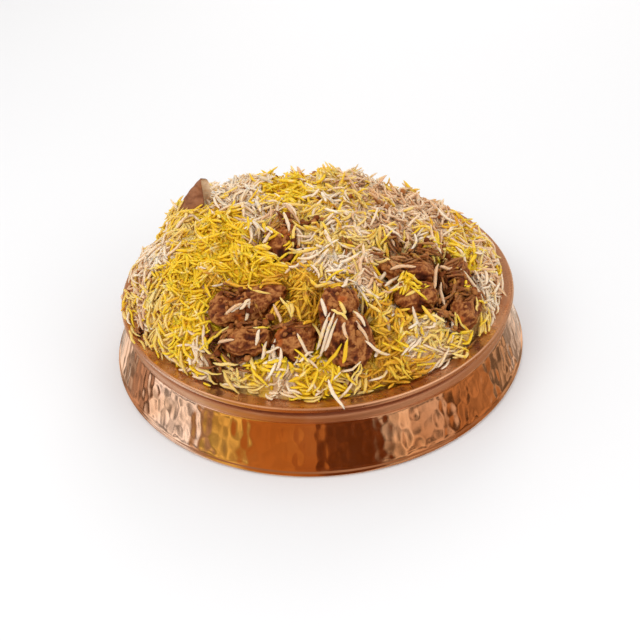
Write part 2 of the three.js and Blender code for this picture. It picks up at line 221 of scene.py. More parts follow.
link(clutter_places, "Color", clutter_here, "Factor")
link(clutter_light, 0, clutter_here, "B")
cluttered = add_node(tree, "ShaderNodeVectorMath", operation="SCALE")
link(sides, "Color", cluttered, 0)
link(clutter_here, "Result", cluttered, "Scale")
above = lay_over(stretch(parts, "Z", From_Min=0.3, From_Max=0.5), 0, ROOM_ABOVE, cluttered, 0)
# The lamp hangs high up at the left and the right, and not over the front and the back.
high_up = stretch(parts, "Z", From_Min=0.68, From_Max=0.76)
to_side = calculate(tree, "ABSOLUTE", (parts, "X"))
at_side = stretch(to_side, 0, From_Min=0.06, From_Max=0.3)
lamp_share = calculate(tree, "MULTIPLY", (high_up, 0), (at_side, 0))
lamp = lay_over(lamp_share, 0, ROOM_LAMP, above, "Result")
rays = add_node(tree, "ShaderNodeLightPath")
mirrored = add_node(tree, "ShaderNodeMix", data_type="RGBA")
mirrored.inputs["A"].default_value = (*ROOM_LIGHT, 1)
link(rays, "Is Glossy Ray", mirrored, "Factor")
link(lamp, "Result", mirrored, "B")
seen = lay_over(rays, "Is Camera Ray", BACKDROP, mirrored, "Result")
link(seen, "Result", backdrop, "Color")
bpy.context.scene.view_settings.view_transform = "Standard"

# ---------------------------------------------------------------------------------------------
# Pan: a shallow handi spun from copper sheet, with a beaded foot, a wall that narrows upwards, a rolled
# shoulder, a narrow neck and a flat flange that ends in a rolled lip. The wall is hammered all round.
SHEET = 1.8
FOOT_RADIUS = 133.7
FOOT_BEAD = 2
WALL_FOOT = (132.5, 4)
WALL_TOP = (122.3, 30.6)
SHOULDER_RADIUS = 123.6
SHOULDER_HEIGHT = 33.6
SHOULDER_ROLL = 3.2
NECK_RADIUS = 116
NECK_HEIGHT = 38.6
FLANGE_INNER = (115.6, 42.2)
FLANGE_OUTER = (121, 42.7)
LIP_MIDDLE = (123.5, 42)
LIP_ROLL = 1.5
PAN_SEGMENTS = 640
WALL_ROWS = 32
# Hammer marks: tall shallow ovals in rough columns, each touching the next.
MARK_COLUMNS = 128
MARK_HEIGHT = 9.3
MARK_DEPTH = 0.32
MARK_SCATTER = 0.3
# Half a mark's width and height, as shares of its place in the rows, and how far both of them vary.
MARK_HALVES = (0.6, 0.7)
MARK_SIZES = (0.75, 1.3)
MARK_STRENGTHS = (0.35, 1.25)
MARKS_FADE = 1.6
RIPPLE = 0.08
RIPPLE_SCALE = 90
# Grime lies in the groove under the lip, which ends at this radius on the shoulder, and on the flange.
GROOVE_ENDS = 122
GROOVE_REACH = 2.6
GRIME_SHARE = 0.6
SHOULDER_WEAR = 1.2
LIP_WEAR = 0.6
# How much rougher the polish is where it is fully grimy or worn.
DULLING = 0.3
COPPER = (0.86, 0.5, 0.32)
COPPER_TARNISHED = (0.74, 0.37, 0.19)
COPPER_BRIGHT = (0.9, 0.56, 0.38)
COPPER_GRIMY = (0.7, 0.45, 0.33)


def arc(middle, roll, start, end, steps):
    """Points on an arc of a profile, angles in degrees from the outward radius."""
    angles = np.radians(np.linspace(start, end, steps + 1))
    return [(middle[0] + roll * math.cos(a), middle[1] + roll * math.sin(a)) for a in angles]


def edit_selected():
    """Edit mode with every vertex of the active piece selected."""
    bpy.ops.object.mode_set(mode="EDIT")
    bpy.ops.mesh.select_mode(type="VERT")
    bpy.ops.mesh.select_all(action="SELECT")


wall = [tuple(p) for p in np.linspace(WALL_FOOT, WALL_TOP, WALL_ROWS + 1)]
outside = [
    (0, 0), (70, 0), (115, 0), (127, 0),
    *arc((FOOT_RADIUS - FOOT_BEAD, FOOT_BEAD), FOOT_BEAD, -90, 60, 9),
    *wall,
    *arc((SHOULDER_RADIUS - SHOULDER_ROLL, SHOULDER_HEIGHT), SHOULDER_ROLL, -35, 78, 10),
    (NECK_RADIUS + 0.3, NECK_HEIGHT - SHEET / 2),
    (NECK_RADIUS, NECK_HEIGHT),
    (NECK_RADIUS + 0.2, NECK_HEIGHT + SHEET / 2),
    (NECK_RADIUS + SHEET, FLANGE_INNER[1] - SHEET),
    *arc(LIP_MIDDLE, LIP_ROLL, -90, 125, 14),
]
inside = [
    FLANGE_OUTER,
    (118.3, 42.4),
    FLANGE_INNER,
    (NECK_RADIUS - SHEET + 0.3, FLANGE_INNER[1] - SHEET / 2),
    (NECK_RADIUS - SHEET, NECK_HEIGHT),
    (SHOULDER_RADIUS - 2 * SHEET, SHOULDER_HEIGHT),
    (WALL_TOP[0] - SHEET, WALL_TOP[1]),
    (WALL_FOOT[0] - SHEET, WALL_FOOT[1] + SHEET),
    (WALL_FOOT[0] - 3 - SHEET, SHEET),
    (60, SHEET), (0, SHEET),
]
profile = outside + inside

bpy.ops.object.select_all(action="DESELECT")
bpy.ops.mesh.primitive_plane_add(size=MM)
pan = bpy.context.object
pan.name = "copper_pan"
edit_selected()
bpy.ops.mesh.merge(type="CENTER")
for (r0, z0), (r1, z1) in zip(profile, profile[1:]):
    step = ((r1 - r0) * MM, 0, (z1 - z0) * MM)
    bpy.ops.mesh.extrude_region_move(TRANSFORM_OT_translate={"value": step})
bpy.ops.mesh.select_all(action="SELECT")
bpy.ops.mesh.spin(steps=PAN_SEGMENTS, angle=2 * math.pi, center=(0, 0, 0), axis=(0, 0, 1))
bpy.ops.mesh.select_all(action="SELECT")
bpy.ops.mesh.remove_doubles(threshold=0.01 * MM)
bpy.ops.mesh.normals_make_consistent(inside=False)
bpy.ops.object.mode_set(mode="OBJECT")


def vertex_places(mesh):
    """Places of a mesh's vertices, as an array of rows."""
    places = np.empty(3 * len(mesh.vertices), np.float32)
    mesh.vertices.foreach_get("co", places)
    return places.reshape(-1, 3).astype(float)


def move_vertices(mesh, places):
    """Puts the mesh's vertices at those places."""
    mesh.vertices.foreach_set("co", places.astype(np.float32).ravel())
    mesh.update()


def hammer_depth(angle, up, random):
    """How deep the hammer marks are at each place on the wall, in mm: its angle and height up the wall."""
    rows = math.ceil((WALL_TOP[1] - WALL_FOOT[1]) / MARK_HEIGHT) + 2
    shift = random.uniform(-MARK_SCATTER, MARK_SCATTER, (2, MARK_COLUMNS, rows + 2))
    size = random.uniform(*MARK_SIZES, (2, MARK_COLUMNS, rows + 2))
    strength = random.uniform(*MARK_STRENGTHS, (MARK_COLUMNS, rows + 2))
    across = angle / (2 * math.pi) * MARK_COLUMNS
    depth = np.zeros_like(angle)
    for side in (-1, 0, 1):
        column = np.floor(across).astype(int) + side
        wrapped = column % MARK_COLUMNS
        along = up / MARK_HEIGHT + 1 + 0.5 * (wrapped % 2)
        for level in (-1, 0, 1):
            row = np.clip(np.floor(along).astype(int) + level, 0, rows + 1)
            dx = (across - column - 0.5 - shift[0, wrapped, row]) / (MARK_HALVES[0] * size[0, wrapped, row])
            dz = (along - row - 0.5 - shift[1, wrapped, row]) / (MARK_HALVES[1] * size[1, wrapped, row])
            bowl = strength[wrapped, row] * MARK_DEPTH * np.clip(1 - dx * dx - dz * dz, 0, 1)
            depth = np.maximum(depth, bowl)
    return depth


random = np.random.default_rng(7)
places = vertex_places(pan.data)
radius = np.hypot(places[:, 0], places[:, 1])
up = places[:, 2] / MM - WALL_FOOT[1]
wall_height = WALL_TOP[1] - WALL_FOOT[1]
wall_radius = WALL_FOOT[0] + (WALL_TOP[0] - WALL_FOOT[0]) * up / wall_height
on_wall = (np.abs(radius / MM - wall_radius) < 0.2) & (up > -0.1) & (up < wall_height + 0.1)
fade = np.clip(np.minimum(up, wall_height - up) / MARKS_FADE, 0, 1)
angle = np.arctan2(places[:, 1], places[:, 0]) % (2 * math.pi)
inward = np.where(on_wall, hammer_depth(angle, up, random) * fade, 0) * MM
ripple = np.array([noise.noise(Vector(p) * RIPPLE_SCALE) for p in places])
ripple = ripple * np.where(on_wall, RIPPLE * MM, 0) * fade
shrink = 1 - (inward + ripple) / np.maximum(radius, MM)
places[:, :2] *= shrink[:, None]
move_vertices(pan.data, places)
bpy.ops.object.shade_smooth()
# Old polish and tarnish sit in the groove under the lip, and a film of oil on the flange.
height, out = places[:, 2] / MM, radius / MM
in_neck = (out > NECK_RADIUS - 0.5) & (out < GROOVE_ENDS)
in_groove = GRIME_SHARE * in_neck * np.exp(-((height - NECK_HEIGHT) / GROOVE_REACH) ** 2)
on_flange = GRIME_SHARE * (height > FLANGE_INNER[1] - 0.4) * (out < FLANGE_OUTER[0] + 0.4)
grime = pan.data.attributes.new("grime", "FLOAT", "POINT")
grime.data.foreach_set("value", np.maximum(in_groove, on_flange).astype(np.float32))
# The shoulder and the lip are worn matt by many hands.
on_shoulder = (height > WALL_TOP[1] + 0.5) * (height < SHOULDER_HEIGHT + 3.6) * (out > NECK_RADIUS + 1)
on_lip = (height > LIP_MIDDLE[1] - 1) * (out > FLANGE_OUTER[0] + 0.6)
worn = pan.data.attributes.new("worn", "FLOAT", "POINT")
wear = np.maximum(SHOULDER_WEAR * on_shoulder, LIP_WEAR * on_lip)
worn.data.foreach_set("value", wear.astype(np.float32))


def noise_pattern(here, **values):
    """A noise pattern over the piece's own places."""
    pattern = add_node(here.id_data, "ShaderNodeTexNoise")
    set_inputs(pattern, **values)
    link(here, "Object", pattern, "Vector")
    return pattern


def add_bump(source, output, shader, **values):
    """Fine relief on a finish, by that output."""
    bump = add_node(source.id_data, "ShaderNodeBump")
    set_inputs(bump, **values)
    link(source, output, bump, "Height")
    link(bump, "Normal", shader, "Normal")


copper, tree, shader = new_material("hammered_copper")
here = add_node(tree, "ShaderNodeTexCoord")
grime = add_node(tree, "ShaderNodeAttribute", attribute_name="grime")
worn = add_node(tree, "ShaderNodeAttribute", attribute_name="worn")
patches = noise_pattern(here, Scale=14, Detail=3, Roughness=0.55, Distortion=0.3)
tarnish = tint(patches, "Fac", [(0.36, COPPER_TARNISHED), (0.52, COPPER), (0.7, COPPER_BRIGHT)])
dulled = lay_over(grime, "Fac", COPPER_GRIMY, tarnish)
scuffs = noise_pattern(here, Scale=160, Detail=6, Roughness=0.7)
gloss = stretch(scuffs, "Fac", From_Min=0.3, From_Max=0.7, To_Min=0.06, To_Max=0.15)
roughened = calculate(tree, "MULTIPLY_ADD", (grime, "Fac"), DULLING, (gloss, 0))
matted = calculate(tree, "MULTIPLY_ADD", (worn, "Fac"), DULLING, (roughened, 0))
link(dulled, "Result", shader, "Base Color")
link(matted, 0, shader, "Roughness")
add_bump(scuffs, "Fac", shader, Strength=0.08, Distance=0.0004)
set_inputs(shader, Metallic=1.0)
pan.data.materials.append(copper)
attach(pan, "root")
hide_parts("pan")

# ---------------------------------------------------------------------------------------------
# Packed rice: the body of the heap under its top layer, stained brown by the gravy. It fills the pan,
# comes up through the neck and is nested where a chunk of mutton presses it down. Sizes in mm.
EDGE_RADIUS = 116.2
HEAP_FOOT = 43.1
HEAP_RISE = 49.5
HEAP_FLATNESS = 2.38
HEAP_STEEPNESS = 0.67
HEAP_LEAN = (0.3, 0.1)
# Swells and hollows of the heap: plan place, reach and rise.
SWELLS = [
    (-104, 32, 14, -6), (-88, 38, 13, 6), (-66, 60, 14, 2), (-42, 72, 12, 2), (-12, 76, 18, -3),
    (25, 72, 12, 5), (58, 74, 14, -4), (-32, -78, 26, -3), (66, -46, 26, -3),
]
# Chunks: plan place, how far the middle lies under the heap, length, width, thickness, turn, lift, roll.
CHUNKS = [
    (-20, -27, 9, 36, 25, 18, 82, 4, 8),
    (-39, -68, 7, 44, 24, 20, 8, 4, -30),
    (-41, -86, 6, 31, 23, 21, -14, 6, 12),
    (-12, -92, 7, 27, 21, 18, 24, 0, 30),
    (13, -88, 4, 46, 28, 22, 106, 36, 0),
    (52, -42, 5, 36, 25, 15, -10, -8, -18),
    (55, -61, 6, 27, 20, 17, 12, 0, 14),
    (82, -36, 5, 28, 22, 17, 64, 4, 0),
    (85, -57, 5, 29, 20, 17, 58, -10, 16),
]
CORE_DEPTH = 2.8
CORE_REACH = 112.5
# The core falls off towards its edge, between these shares of the heap's radius.
CORE_DROPS_FROM = 0.9
CORE_ENDS = 0.97
CORE_EDGE_DROP = 4.5
STEEPEST = 2.4
# Under the rim it follows the pan's inside: radius and height.
CORE_BELOW = ((111, 41.5), (113.4, 37), (119, 30), (129, 4.6), (126, 2.3))
CORE_RINGS = 125
CORE_SEGMENTS = 600
# Dyes of the rice: how common each is, where it lies in patches (plan place, reach along X and Y, strength)
# and its shading colour:
# painted light and shade for the grains' deep and lower faces and for the packed rice, lighter than the dye
# for the pale kinds, darker for the dark ones.
GRAIN_KINDS = {
    "white": (0.3, (0.87, 0.62, 0.39), [
        (-52, 50, 16, 34, 1.3), (-38, -5, 7, 14, 0.9), (18, -16, 12, 18, 0.2), (8, -50, 8, 10, 0.7),
        (-98, 0, 12, 24, 0.9), (40, 75, 14, 14, 0.5), (-72, -90, 9, 8, 0.35), (-18, -103, 13, 8, 1.3),
        (60, -92, 18, 10, 0.6), (104, -45, 8, 16, 0.5), (28, 12, 14, 12, 0.2), (20, -72, 5, 12, 0.6),
    ]),
    "pale": (0.3, (0.86, 0.58, 0.2), [
        (-88, 15, 18, 22, 0.7), (-76, -5, 8, 22, 1.0), (-95, -45, 10, 18, 0.9), (14, 60, 10, 30, 0.6),
        (-42, -108, 12, 8, 0.7), (0, 12, 14, 14, 0.4), (14, -30, 14, 12, 0.6),
        (70, -90, 20, 10, 0.5), (92, -60, 10, 14, 0.5), (-95, -70, 16, 16, 0.5),
    ]),
    "saffron": (0.2, (0.92, 0.57, 0.012), [
        (-62, -14, 16, 18, 1.6), (-55, -38, 28, 16, 1.5), (-82, -38, 20, 18, 1.2), (-30, -52, 16, 10, 1.0),
        (-17, 32, 13, 22, 1.4), (-33, 70, 6, 30, 0.9), (-108, 55, 12, 24, 0.9), (-15, 112, 28, 8, 0.9),
        (104, 45, 8, 24, 0.9), (90, -12, 14, 14, 0.6), (54, -64, 7, 5, 1.3), (-76, -72, 22, 16, 0.9),
        (48, -96, 16, 7, 0.7), (-14, -105, 24, 9, 1.1),
    ]),
    "amber": (0.12, (0.66, 0.32, 0.014), [
        (-14, -68, 18, 12, 1.6), (-50, -58, 20, 8, 0.8), (34, -92, 12, 12, 1.3), (48, -104, 22, 8, 1.1),
        (-12, -82, 12, 9, 1.6), (50, -74, 12, 8, 0.8), (-60, 18, 10, 10, 0.5), (100, 30, 10, 14, 0.4),
        (80, 8, 18, 12, 0.4),
    ]),
    "beige": (0.1, (0.68, 0.4, 0.22), [
        (70, 30, 26, 28, 1.1), (35, 48, 18, 18, 0.9), (48, -2, 14, 20, 0.8), (85, 70, 14, 20, 0.9),
        (108, -15, 8, 20, 0.8), (-108, -20, 8, 24, 0.6), (30, -60, 8, 14, 0.7), (0, 80, 12, 20, 0.5),
        (-52, 96, 20, 10, 0.7),
    ]),
    "gravy": (-0.3, (0.15, 0.038, 0.005), [
        (66, -44, 30, 26, 1.8), (76, -64, 18, 14, 1.6), (-45, -82, 24, 20, 1.6), (-18, -92, 14, 9, 1.6),
        (12, -88, 14, 18, 1.6), (14, -103, 12, 7, 1.3), (-19, -26, 9, 20, 1.7), (0, -12, 6, 7, 1.1),
        (46, 14, 6, 12, 0.9), (54, 30, 6, 8, 0.9), (22, 18, 4, 5, 0.8), (-46, 13, 6, 6, 0.9),
        (-50, 0, 4, 5, 0.7), (-106, -48, 8, 12, 0.9), (-50, 106, 6, 5, 0.9), (76, -16, 7, 6, 0.8),
        (2, -38, 5, 6, 0.8), (-28, 10, 5, 6, 0.8), (-12, -50, 5, 5, 0.7), (12, -8, 5, 4, 0.9),
        (20, -36, 4, 6, 0.9),
    ]),
}
KIND_SHARPNESS = 6
CORE_STAIN = (0.3, 0.1, 0.012)
# Lumps of the loose surface: how many waves make them, the rise of each and their lengths.
LUMP_WAVES = 16
LUMP_RISE = 0.72
LUMP_LENGTHS = (13, 34)
# Grains pressed flat into the core: how many, how high, and their half length and half width.
RIDGES = 6000
RIDGE_RISE = 1.0
RIDGE_REACH = (6.5, 1.2)
# Loose grains spill over the rim at the left: how far, around which angle, and how wide.
SPILL_REACH = 6.5
SPILL_MIDDLE = 185
SPILL_WIDTH = 26


def smooth_noise(x, y, reach, level):
    """Noise at those places of the plan, with patches of that reach."""
    places = np.stack([x / reach, y / reach, np.full_like(x, level)], axis=-1).reshape(-1, 3)
    return np.array([noise.noise(place) for place in places]).reshape(x.shape)


def patch_share(patches, x, y):
    """How strongly places lie in one of the patches."""
    shares = [
        strength * np.exp(-((x - px) / reach_x) ** 2 - ((y - py) / reach_y) ** 2)
        for px, py, reach_x, reach_y, strength in patches
    ]
    return np.max(shares, axis=0)


def dye_shares(x, y):
    """How much of the rice each dye has there, one row for each kind of grain."""
    strengths = [
        common + patch_share(patches, x, y)
        + 0.35 * smooth_noise(x, y, 11, 10 * level) + 0.5 * smooth_noise(x, y, 5, 10 * level + 5)
        for level, (common, _, patches) in enumerate(GRAIN_KINDS.values())
    ]
    shares = np.clip(strengths, 0.01, None) ** KIND_SHARPNESS
    return shares / shares.sum(axis=0)


def heap_edge(angle):
    """Radius out to which the rice lies on the flange."""
    wobble = np.sin(5 * angle + 1) + 0.6 * np.sin(11 * angle) + 0.4 * np.sin(23 * angle + 2)
    return EDGE_RADIUS + 1.5 * np.cos(2 * angle) + 0.9 * wobble


def spill(angle):
    """How much farther out loose grains lie at the left, where they spill over the rim."""
    return SPILL_REACH * np.exp(-((np.degrees(angle) % 360 - SPILL_MIDDLE) / SPILL_WIDTH) ** 2)


def outward_share(x, y):
    """How far out a place lies on the heap: 0 in the middle, 1 at its edge."""
    return np.minimum(1, np.hypot(x, y) / heap_edge(np.arctan2(y, x)))


def edge_fade(x, y):
    """Swells and nests fade out at the edge, where the rice lies on the flange."""
    return np.minimum(1, 6 * (1 - outward_share(x, y)))


def heap_height(x, y):
    """Height of the heap without the nests of the meat."""
    dome = (1 - outward_share(x, y) ** HEAP_FLATNESS) ** HEAP_STEEPNESS
    lean = (HEAP_LEAN[0] * x + HEAP_LEAN[1] * y) / EDGE_RADIUS
    height = HEAP_FOOT + HEAP_RISE * dome * (1 - lean)
    for sx, sy, reach, rise in SWELLS:
        away = ((x - sx) ** 2 + (y - sy) ** 2) / reach ** 2
        height = height + edge_fade(x, y) * rise * np.exp(-away)
    return height


def nest_share(chunk, x, y):
    """1 under the middle of a chunk, 0 away from it."""
    cx, cy, _, length, width, _, turn, _, _ = chunk
    c, s = math.cos(math.radians(turn)), math.sin(math.radians(turn))
    along = ((x - cx) * c + (y - cy) * s) / (length / 2 + 3)
    across = ((y - cy) * c - (x - cx) * s) / (width / 2 + 3)
    return np.exp(-1.2 * (along ** 2 + across ** 2) ** 2)


def lumps(x, y):
    """Lumps and hollows of the loose surface, as many low waves that run in all directions."""
    random = np.random.default_rng(8)
    height = 0
    for _ in range(LUMP_WAVES):
        heading, phase = random.uniform(0, 2 * math.pi, 2)
        length = random.uniform(*LUMP_LENGTHS)
        along = x * math.cos(heading) + y * math.sin(heading)
        height = height + LUMP_RISE * np.sin(2 * math.pi * along / length + phase)
    return height


def bed_height(x, y):
    """Height of the rice's surface."""
    under = np.max([nest_share(chunk, x, y) for chunk in CHUNKS], axis=0)
    deepest = np.max([0.55 * chunk[5] * nest_share(chunk, x, y) for chunk in CHUNKS], axis=0)
    return heap_height(x, y) + edge_fade(x, y) * (lumps(x, y) * (1 - under) - deepest)


def steepness(x, y):
    """How far the bed's slope runs for each mm across it, 1 where it is flat."""
    across_x = bed_height(x + 1, y) - bed_height(x - 1, y)
    across_y = bed_height(x, y + 1) - bed_height(x, y - 1)
    return np.minimum(STEEPEST, np.sqrt(1 + 0.25 * (across_x ** 2 + across_y ** 2)))


def core_height(x, y):
    """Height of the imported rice: under the top layer, but close up under each chunk."""
    under = np.max([nest_share(chunk, x, y) for chunk in CHUNKS], axis=0)
    at_edge = (outward_share(x, y) - CORE_DROPS_FROM) / (CORE_ENDS - CORE_DROPS_FROM)
    drop = CORE_EDGE_DROP * np.clip(at_edge, 0, 1) ** 2
    return bed_height(x, y) - CORE_DEPTH * (1 - 0.25 * under) * steepness(x, y) - drop


core_rings = np.linspace(0, 1, CORE_RINGS + 1)[1:] ** 0.8
ring_angles = np.linspace(0, 2 * math.pi, CORE_SEGMENTS, endpoint=False)
core_edge = np.minimum(heap_edge(ring_angles) - 3, CORE_REACH)
rows = []
for share in core_rings:
    x, y = share * core_edge * np.cos(ring_angles), share * core_edge * np.sin(ring_angles)
    rows.append(np.stack([x, y, core_height(x, y)], axis=1))
for below_radius, below_height in CORE_BELOW:
    x, y = below_radius * np.cos(ring_angles), below_radius * np.sin(ring_angles)
    rows.append(np.stack([x, y, np.full_like(x, below_height)], axis=1))
top = [[0, 0, float(core_height(np.array(0.01), np.array(0.0)))]]
points = np.concatenate([top, *rows, [[0, 0, CORE_BELOW[-1][1]]]])
faces = [(0, 1 + i, 1 + (i + 1) % CORE_SEGMENTS) for i in range(CORE_SEGMENTS)]
for ring in range(len(rows) - 1):
    for i in range(CORE_SEGMENTS):
        a = 1 + ring * CORE_SEGMENTS + i
        b = 1 + ring * CORE_SEGMENTS + (i + 1) % CORE_SEGMENTS
        faces.append((a, a + CORE_SEGMENTS, b + CORE_SEGMENTS, b))
last = 1 + (len(rows) - 1) * CORE_SEGMENTS
faces += [(last + (i + 1) % CORE_SEGMENTS, last + i, len(points) - 1) for i in range(CORE_SEGMENTS)]

# Grains pressed flat into the core, in every direction, in its open top only.
random = np.random.default_rng(5)
relief = np.zeros(len(points))
open_top = 1 + (CORE_RINGS - 2) * CORE_SEGMENTS
for _ in range(RIDGES):
    out, angle = random.random() ** 0.5, 2 * math.pi * random.random()
    x, y = 112 * out * math.cos(angle), 112 * out * math.sin(angle)
    heading = 2 * math.pi * random.random()
    near = np.flatnonzero((np.abs(points[:open_top, 0] - x) < 7) & (np.abs(points[:open_top, 1] - y) < 7))
    along = (points[near, 0] - x) * math.cos(heading) + (points[near, 1] - y) * math.sin(heading)
    across = (points[near, 1] - y) * math.cos(heading) - (points[near, 0] - x) * math.sin(heading)
    ridge = random.uniform(0.4, 1) * (1 - (along / RIDGE_REACH[0]) ** 4 - (across / RIDGE_REACH[1]) ** 2)
    relief[near] = np.maximum(relief[near], RIDGE_RISE * ridge)
points[:open_top, 2] += relief[:open_top] - 0.5 * RIDGE_RISE
core_mesh = bpy.data.meshes.new("packed_rice")
core_mesh.from_pydata(points * MM, [], faces)
core_mesh.shade_smooth()
core = bpy.data.objects.new("packed_rice", core_mesh)
bpy.context.collection.objects.link(core)

# Painted light and shade: the packed rice takes each dye's shading colour, lighter than the dye for the
# pale kinds so the gaps between grains stay bright, darker for the dark kinds.
dyes_with_gap_light = np.array([colour for _, colour, _ in GRAIN_KINDS.values()])
dyed = np.einsum("kn,kc->nc", dye_shares(points[:, 0], points[:, 1]), dyes_with_gap_light)
dye_and_gap_light = core_mesh.attributes.new("dye_and_gap_light", "FLOAT_COLOR", "POINT")
dye_and_gap_light.data.foreach_set("color", np.hstack([dyed, np.ones((len(dyed), 1))]).astype(np.float32).ravel())

stained, tree, shader = new_material("gravy_stained_rice")
here = add_node(tree, "ShaderNodeTexCoord")
# Painted light and shade from the dyes' shading colours, with real stains laid over them.
core_dye_and_gap_light = add_node(tree, "ShaderNodeAttribute", attribute_name="dye_and_gap_light")
stains = noise_pattern(here, Scale=90, Detail=5, Roughness=0.65)
stain_share = stretch(stains, "Fac", From_Min=0.5, From_Max=0.75, To_Max=0.4)
dyed = lay_over(stain_share, 0, CORE_STAIN, core_dye_and_gap_light)
crumb = add_node(tree, "ShaderNodeTexVoronoi")
set_inputs(crumb, Scale=520)
link(here, "Object", crumb, "Vector")
link(dyed, "Result", shader, "Base Color")
add_bump(crumb, "Distance", shader, Strength=0.7, Distance=0.0008)
set_inputs(shader, Roughness=0.5)
core.data.materials.append(stained)
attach(core, "root")
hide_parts("rice")

# ---------------------------------------------------------------------------------------------
# Mutton: nine braised chunks, each torn along its fibres, with an oily masala coat that is orange where the
# fat has run;
# painted shade makes it dark in the pits and folds, painted light reddish brown on the raised parts. Each
# lies cut into its nest.
MEAT_VOXEL = 0.65 * MM
MEAT_BLACK = (0.04, 0.006, 0.001)
MEAT_DARK = (0.095, 0.015, 0.001)
MEAT_BROWN = (0.2, 0.046, 0.005)
MEAT_PALE = (0.42, 0.16, 0.04)
OIL_ORANGE = (0.42, 0.09, 0.008)


def copied_solid(node, name):
    """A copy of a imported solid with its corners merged, as a piece of its own."""
    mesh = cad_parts[node].data.copy()
    piece = bpy.data.objects.new(name, mesh)
    bpy.context.collection.objects.link(piece)
    mesh.materials.clear()
    bpy.ops.object.select_all(action="DESELECT")
    bpy.context.view_layer.objects.active = piece
    piece.select_set(True)
    edit_selected()
    bpy.ops.mesh.remove_doubles(threshold=0.02 * MM)
    bpy.ops.object.mode_set(mode="OBJECT")
    return piece


def tear_fibres(piece, along, seed):
    """Lumps, torn fibres that run along the chunk, pits and crumbs; each vertex keeps a tone, darker in the
    pits and lighter on the ridges as painted shade and light.
    """
    mesh = piece.data
    places = vertex_places(mesh)
    normals = np.empty(3 * len(mesh.vertices), np.float32)
    mesh.vertices.foreach_get("normal", normals)
    normals = normals.reshape(-1, 3).astype(float)
    along = np.array(along)
    offset = Vector((seed * 3.1, seed * 1.7, seed * 2.3))
    squeezed = places - np.outer(places @ along, along) * 0.8
    moved, tone_and_crease_shade = np.empty(len(places)), np.empty(len(places))
    for i, (place, fibre_place) in enumerate(zip(places, squeezed)):
        lumps = noise.noise(Vector(place) * 80 + offset)
        bend = 0.25 * noise.noise(Vector(place) * 160 + offset)
        fibre = 1 - 2.4 * abs(noise.noise(Vector(fibre_place) * 300 + offset + Vector((bend, bend, bend))))
        shreds = noise.noise(Vector(place) * 420 + offset)
        pit = max(0, noise.noise(Vector(place) * 150 + 2 * offset) - 0.2)
        crumbs = noise.noise(Vector(place) * 1100 + offset)
        moved[i] = 1.7 * lumps + 0.85 * fibre + 0.4 * shreds - 3 * pit + 0.3 * crumbs
        # Painted shade and light: the tone falls in the pits and between the fibres, and rises on the
        # fibres' ridges and crumbs.
        tone_and_crease_shade[i] = 0.45 + 0.35 * fibre + 0.2 * shreds - 1.2 * pit + 0.3 * crumbs
    move_vertices(mesh, places + normals * (moved * MM)[:, None])
    layer = mesh.attributes.new("tone_and_crease_shade", "FLOAT", "POINT")
    layer.data.foreach_set("value", np.clip(tone_and_crease_shade, 0, 1).astype(np.float32))


meat, tree, shader = new_material("braised_mutton")
here = add_node(tree, "ShaderNodeTexCoord")
tone_and_crease_shade = add_node(tree, "ShaderNodeAttribute", attribute_name="tone_and_crease_shade")
coat = noise_pattern(here, Scale=260, Detail=6, Roughness=0.7, Distortion=0.4)
coat_weight = calculate(tree, "MULTIPLY", (coat, "Fac"), 0.6)
# Painted shade: the coat is black in the pits and folds and pale reddish brown on the raised parts, mottled
# by the noise.
coat_and_crease_shade = calculate(tree, "MULTIPLY_ADD", (tone_and_crease_shade, "Fac"), 0.85, (coat_weight, 0))
coat_stops = [(0.32, MEAT_BLACK), (0.56, MEAT_DARK), (0.78, MEAT_BROWN), (1.0, MEAT_PALE)]
coat_and_shade_colours = tint(coat_and_crease_shade, 0, coat_stops)
oil = noise_pattern(here, Scale=75, Detail=3, Roughness=0.6)
oil_share = stretch(oil, "Fac", From_Min=0.58, From_Max=0.66, To_Max=0.8)
oiled = lay_over(oil_share, 0, OIL_ORANGE, coat_and_shade_colours)
crumb = noise_pattern(here, Scale=1100, Detail=4, Roughness=0.7)
wet = stretch(crumb, "Fac", From_Min=0.35, From_Max=0.65, To_Min=0.35, To_Max=0.7)
link(oiled, "Result", shader, "Base Color")
link(wet, 0, shader, "Roughness")
add_bump(crumb, "Fac", shader, Strength=0.6, Distance=0.0007)
set_inputs(shader, Specular_IOR_Level=0.3)

chunks = []
for index, chunk in enumerate(CHUNKS, start=1):
    piece = copied_solid(f"mutton_{index}", f"mutton_chunk_{index}")
    remesh = piece.modifiers.new("even_mesh", "REMESH")
    remesh.mode = "VOXEL"
    remesh.voxel_size = MEAT_VOXEL
    bpy.ops.object.modifier_apply(modifier=remesh.name)
    soften = piece.modifiers.new("soft_corners", "SMOOTH")
    soften.factor = 0.5
    soften.iterations = 5
    bpy.ops.object.modifier_apply(modifier=soften.name)
    turn, lift = math.radians(chunk[6]), math.radians(chunk[7])
    fibre_way = (math.cos(turn) * math.cos(lift), math.sin(turn) * math.cos(lift), math.sin(lift))
    tear_fibres(piece, fibre_way, index)
    bpy.ops.object.shade_smooth()
    piece.data.materials.append(meat)
    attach(piece, "root")
    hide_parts(f"mutton_{index}")
    chunks.append(piece)

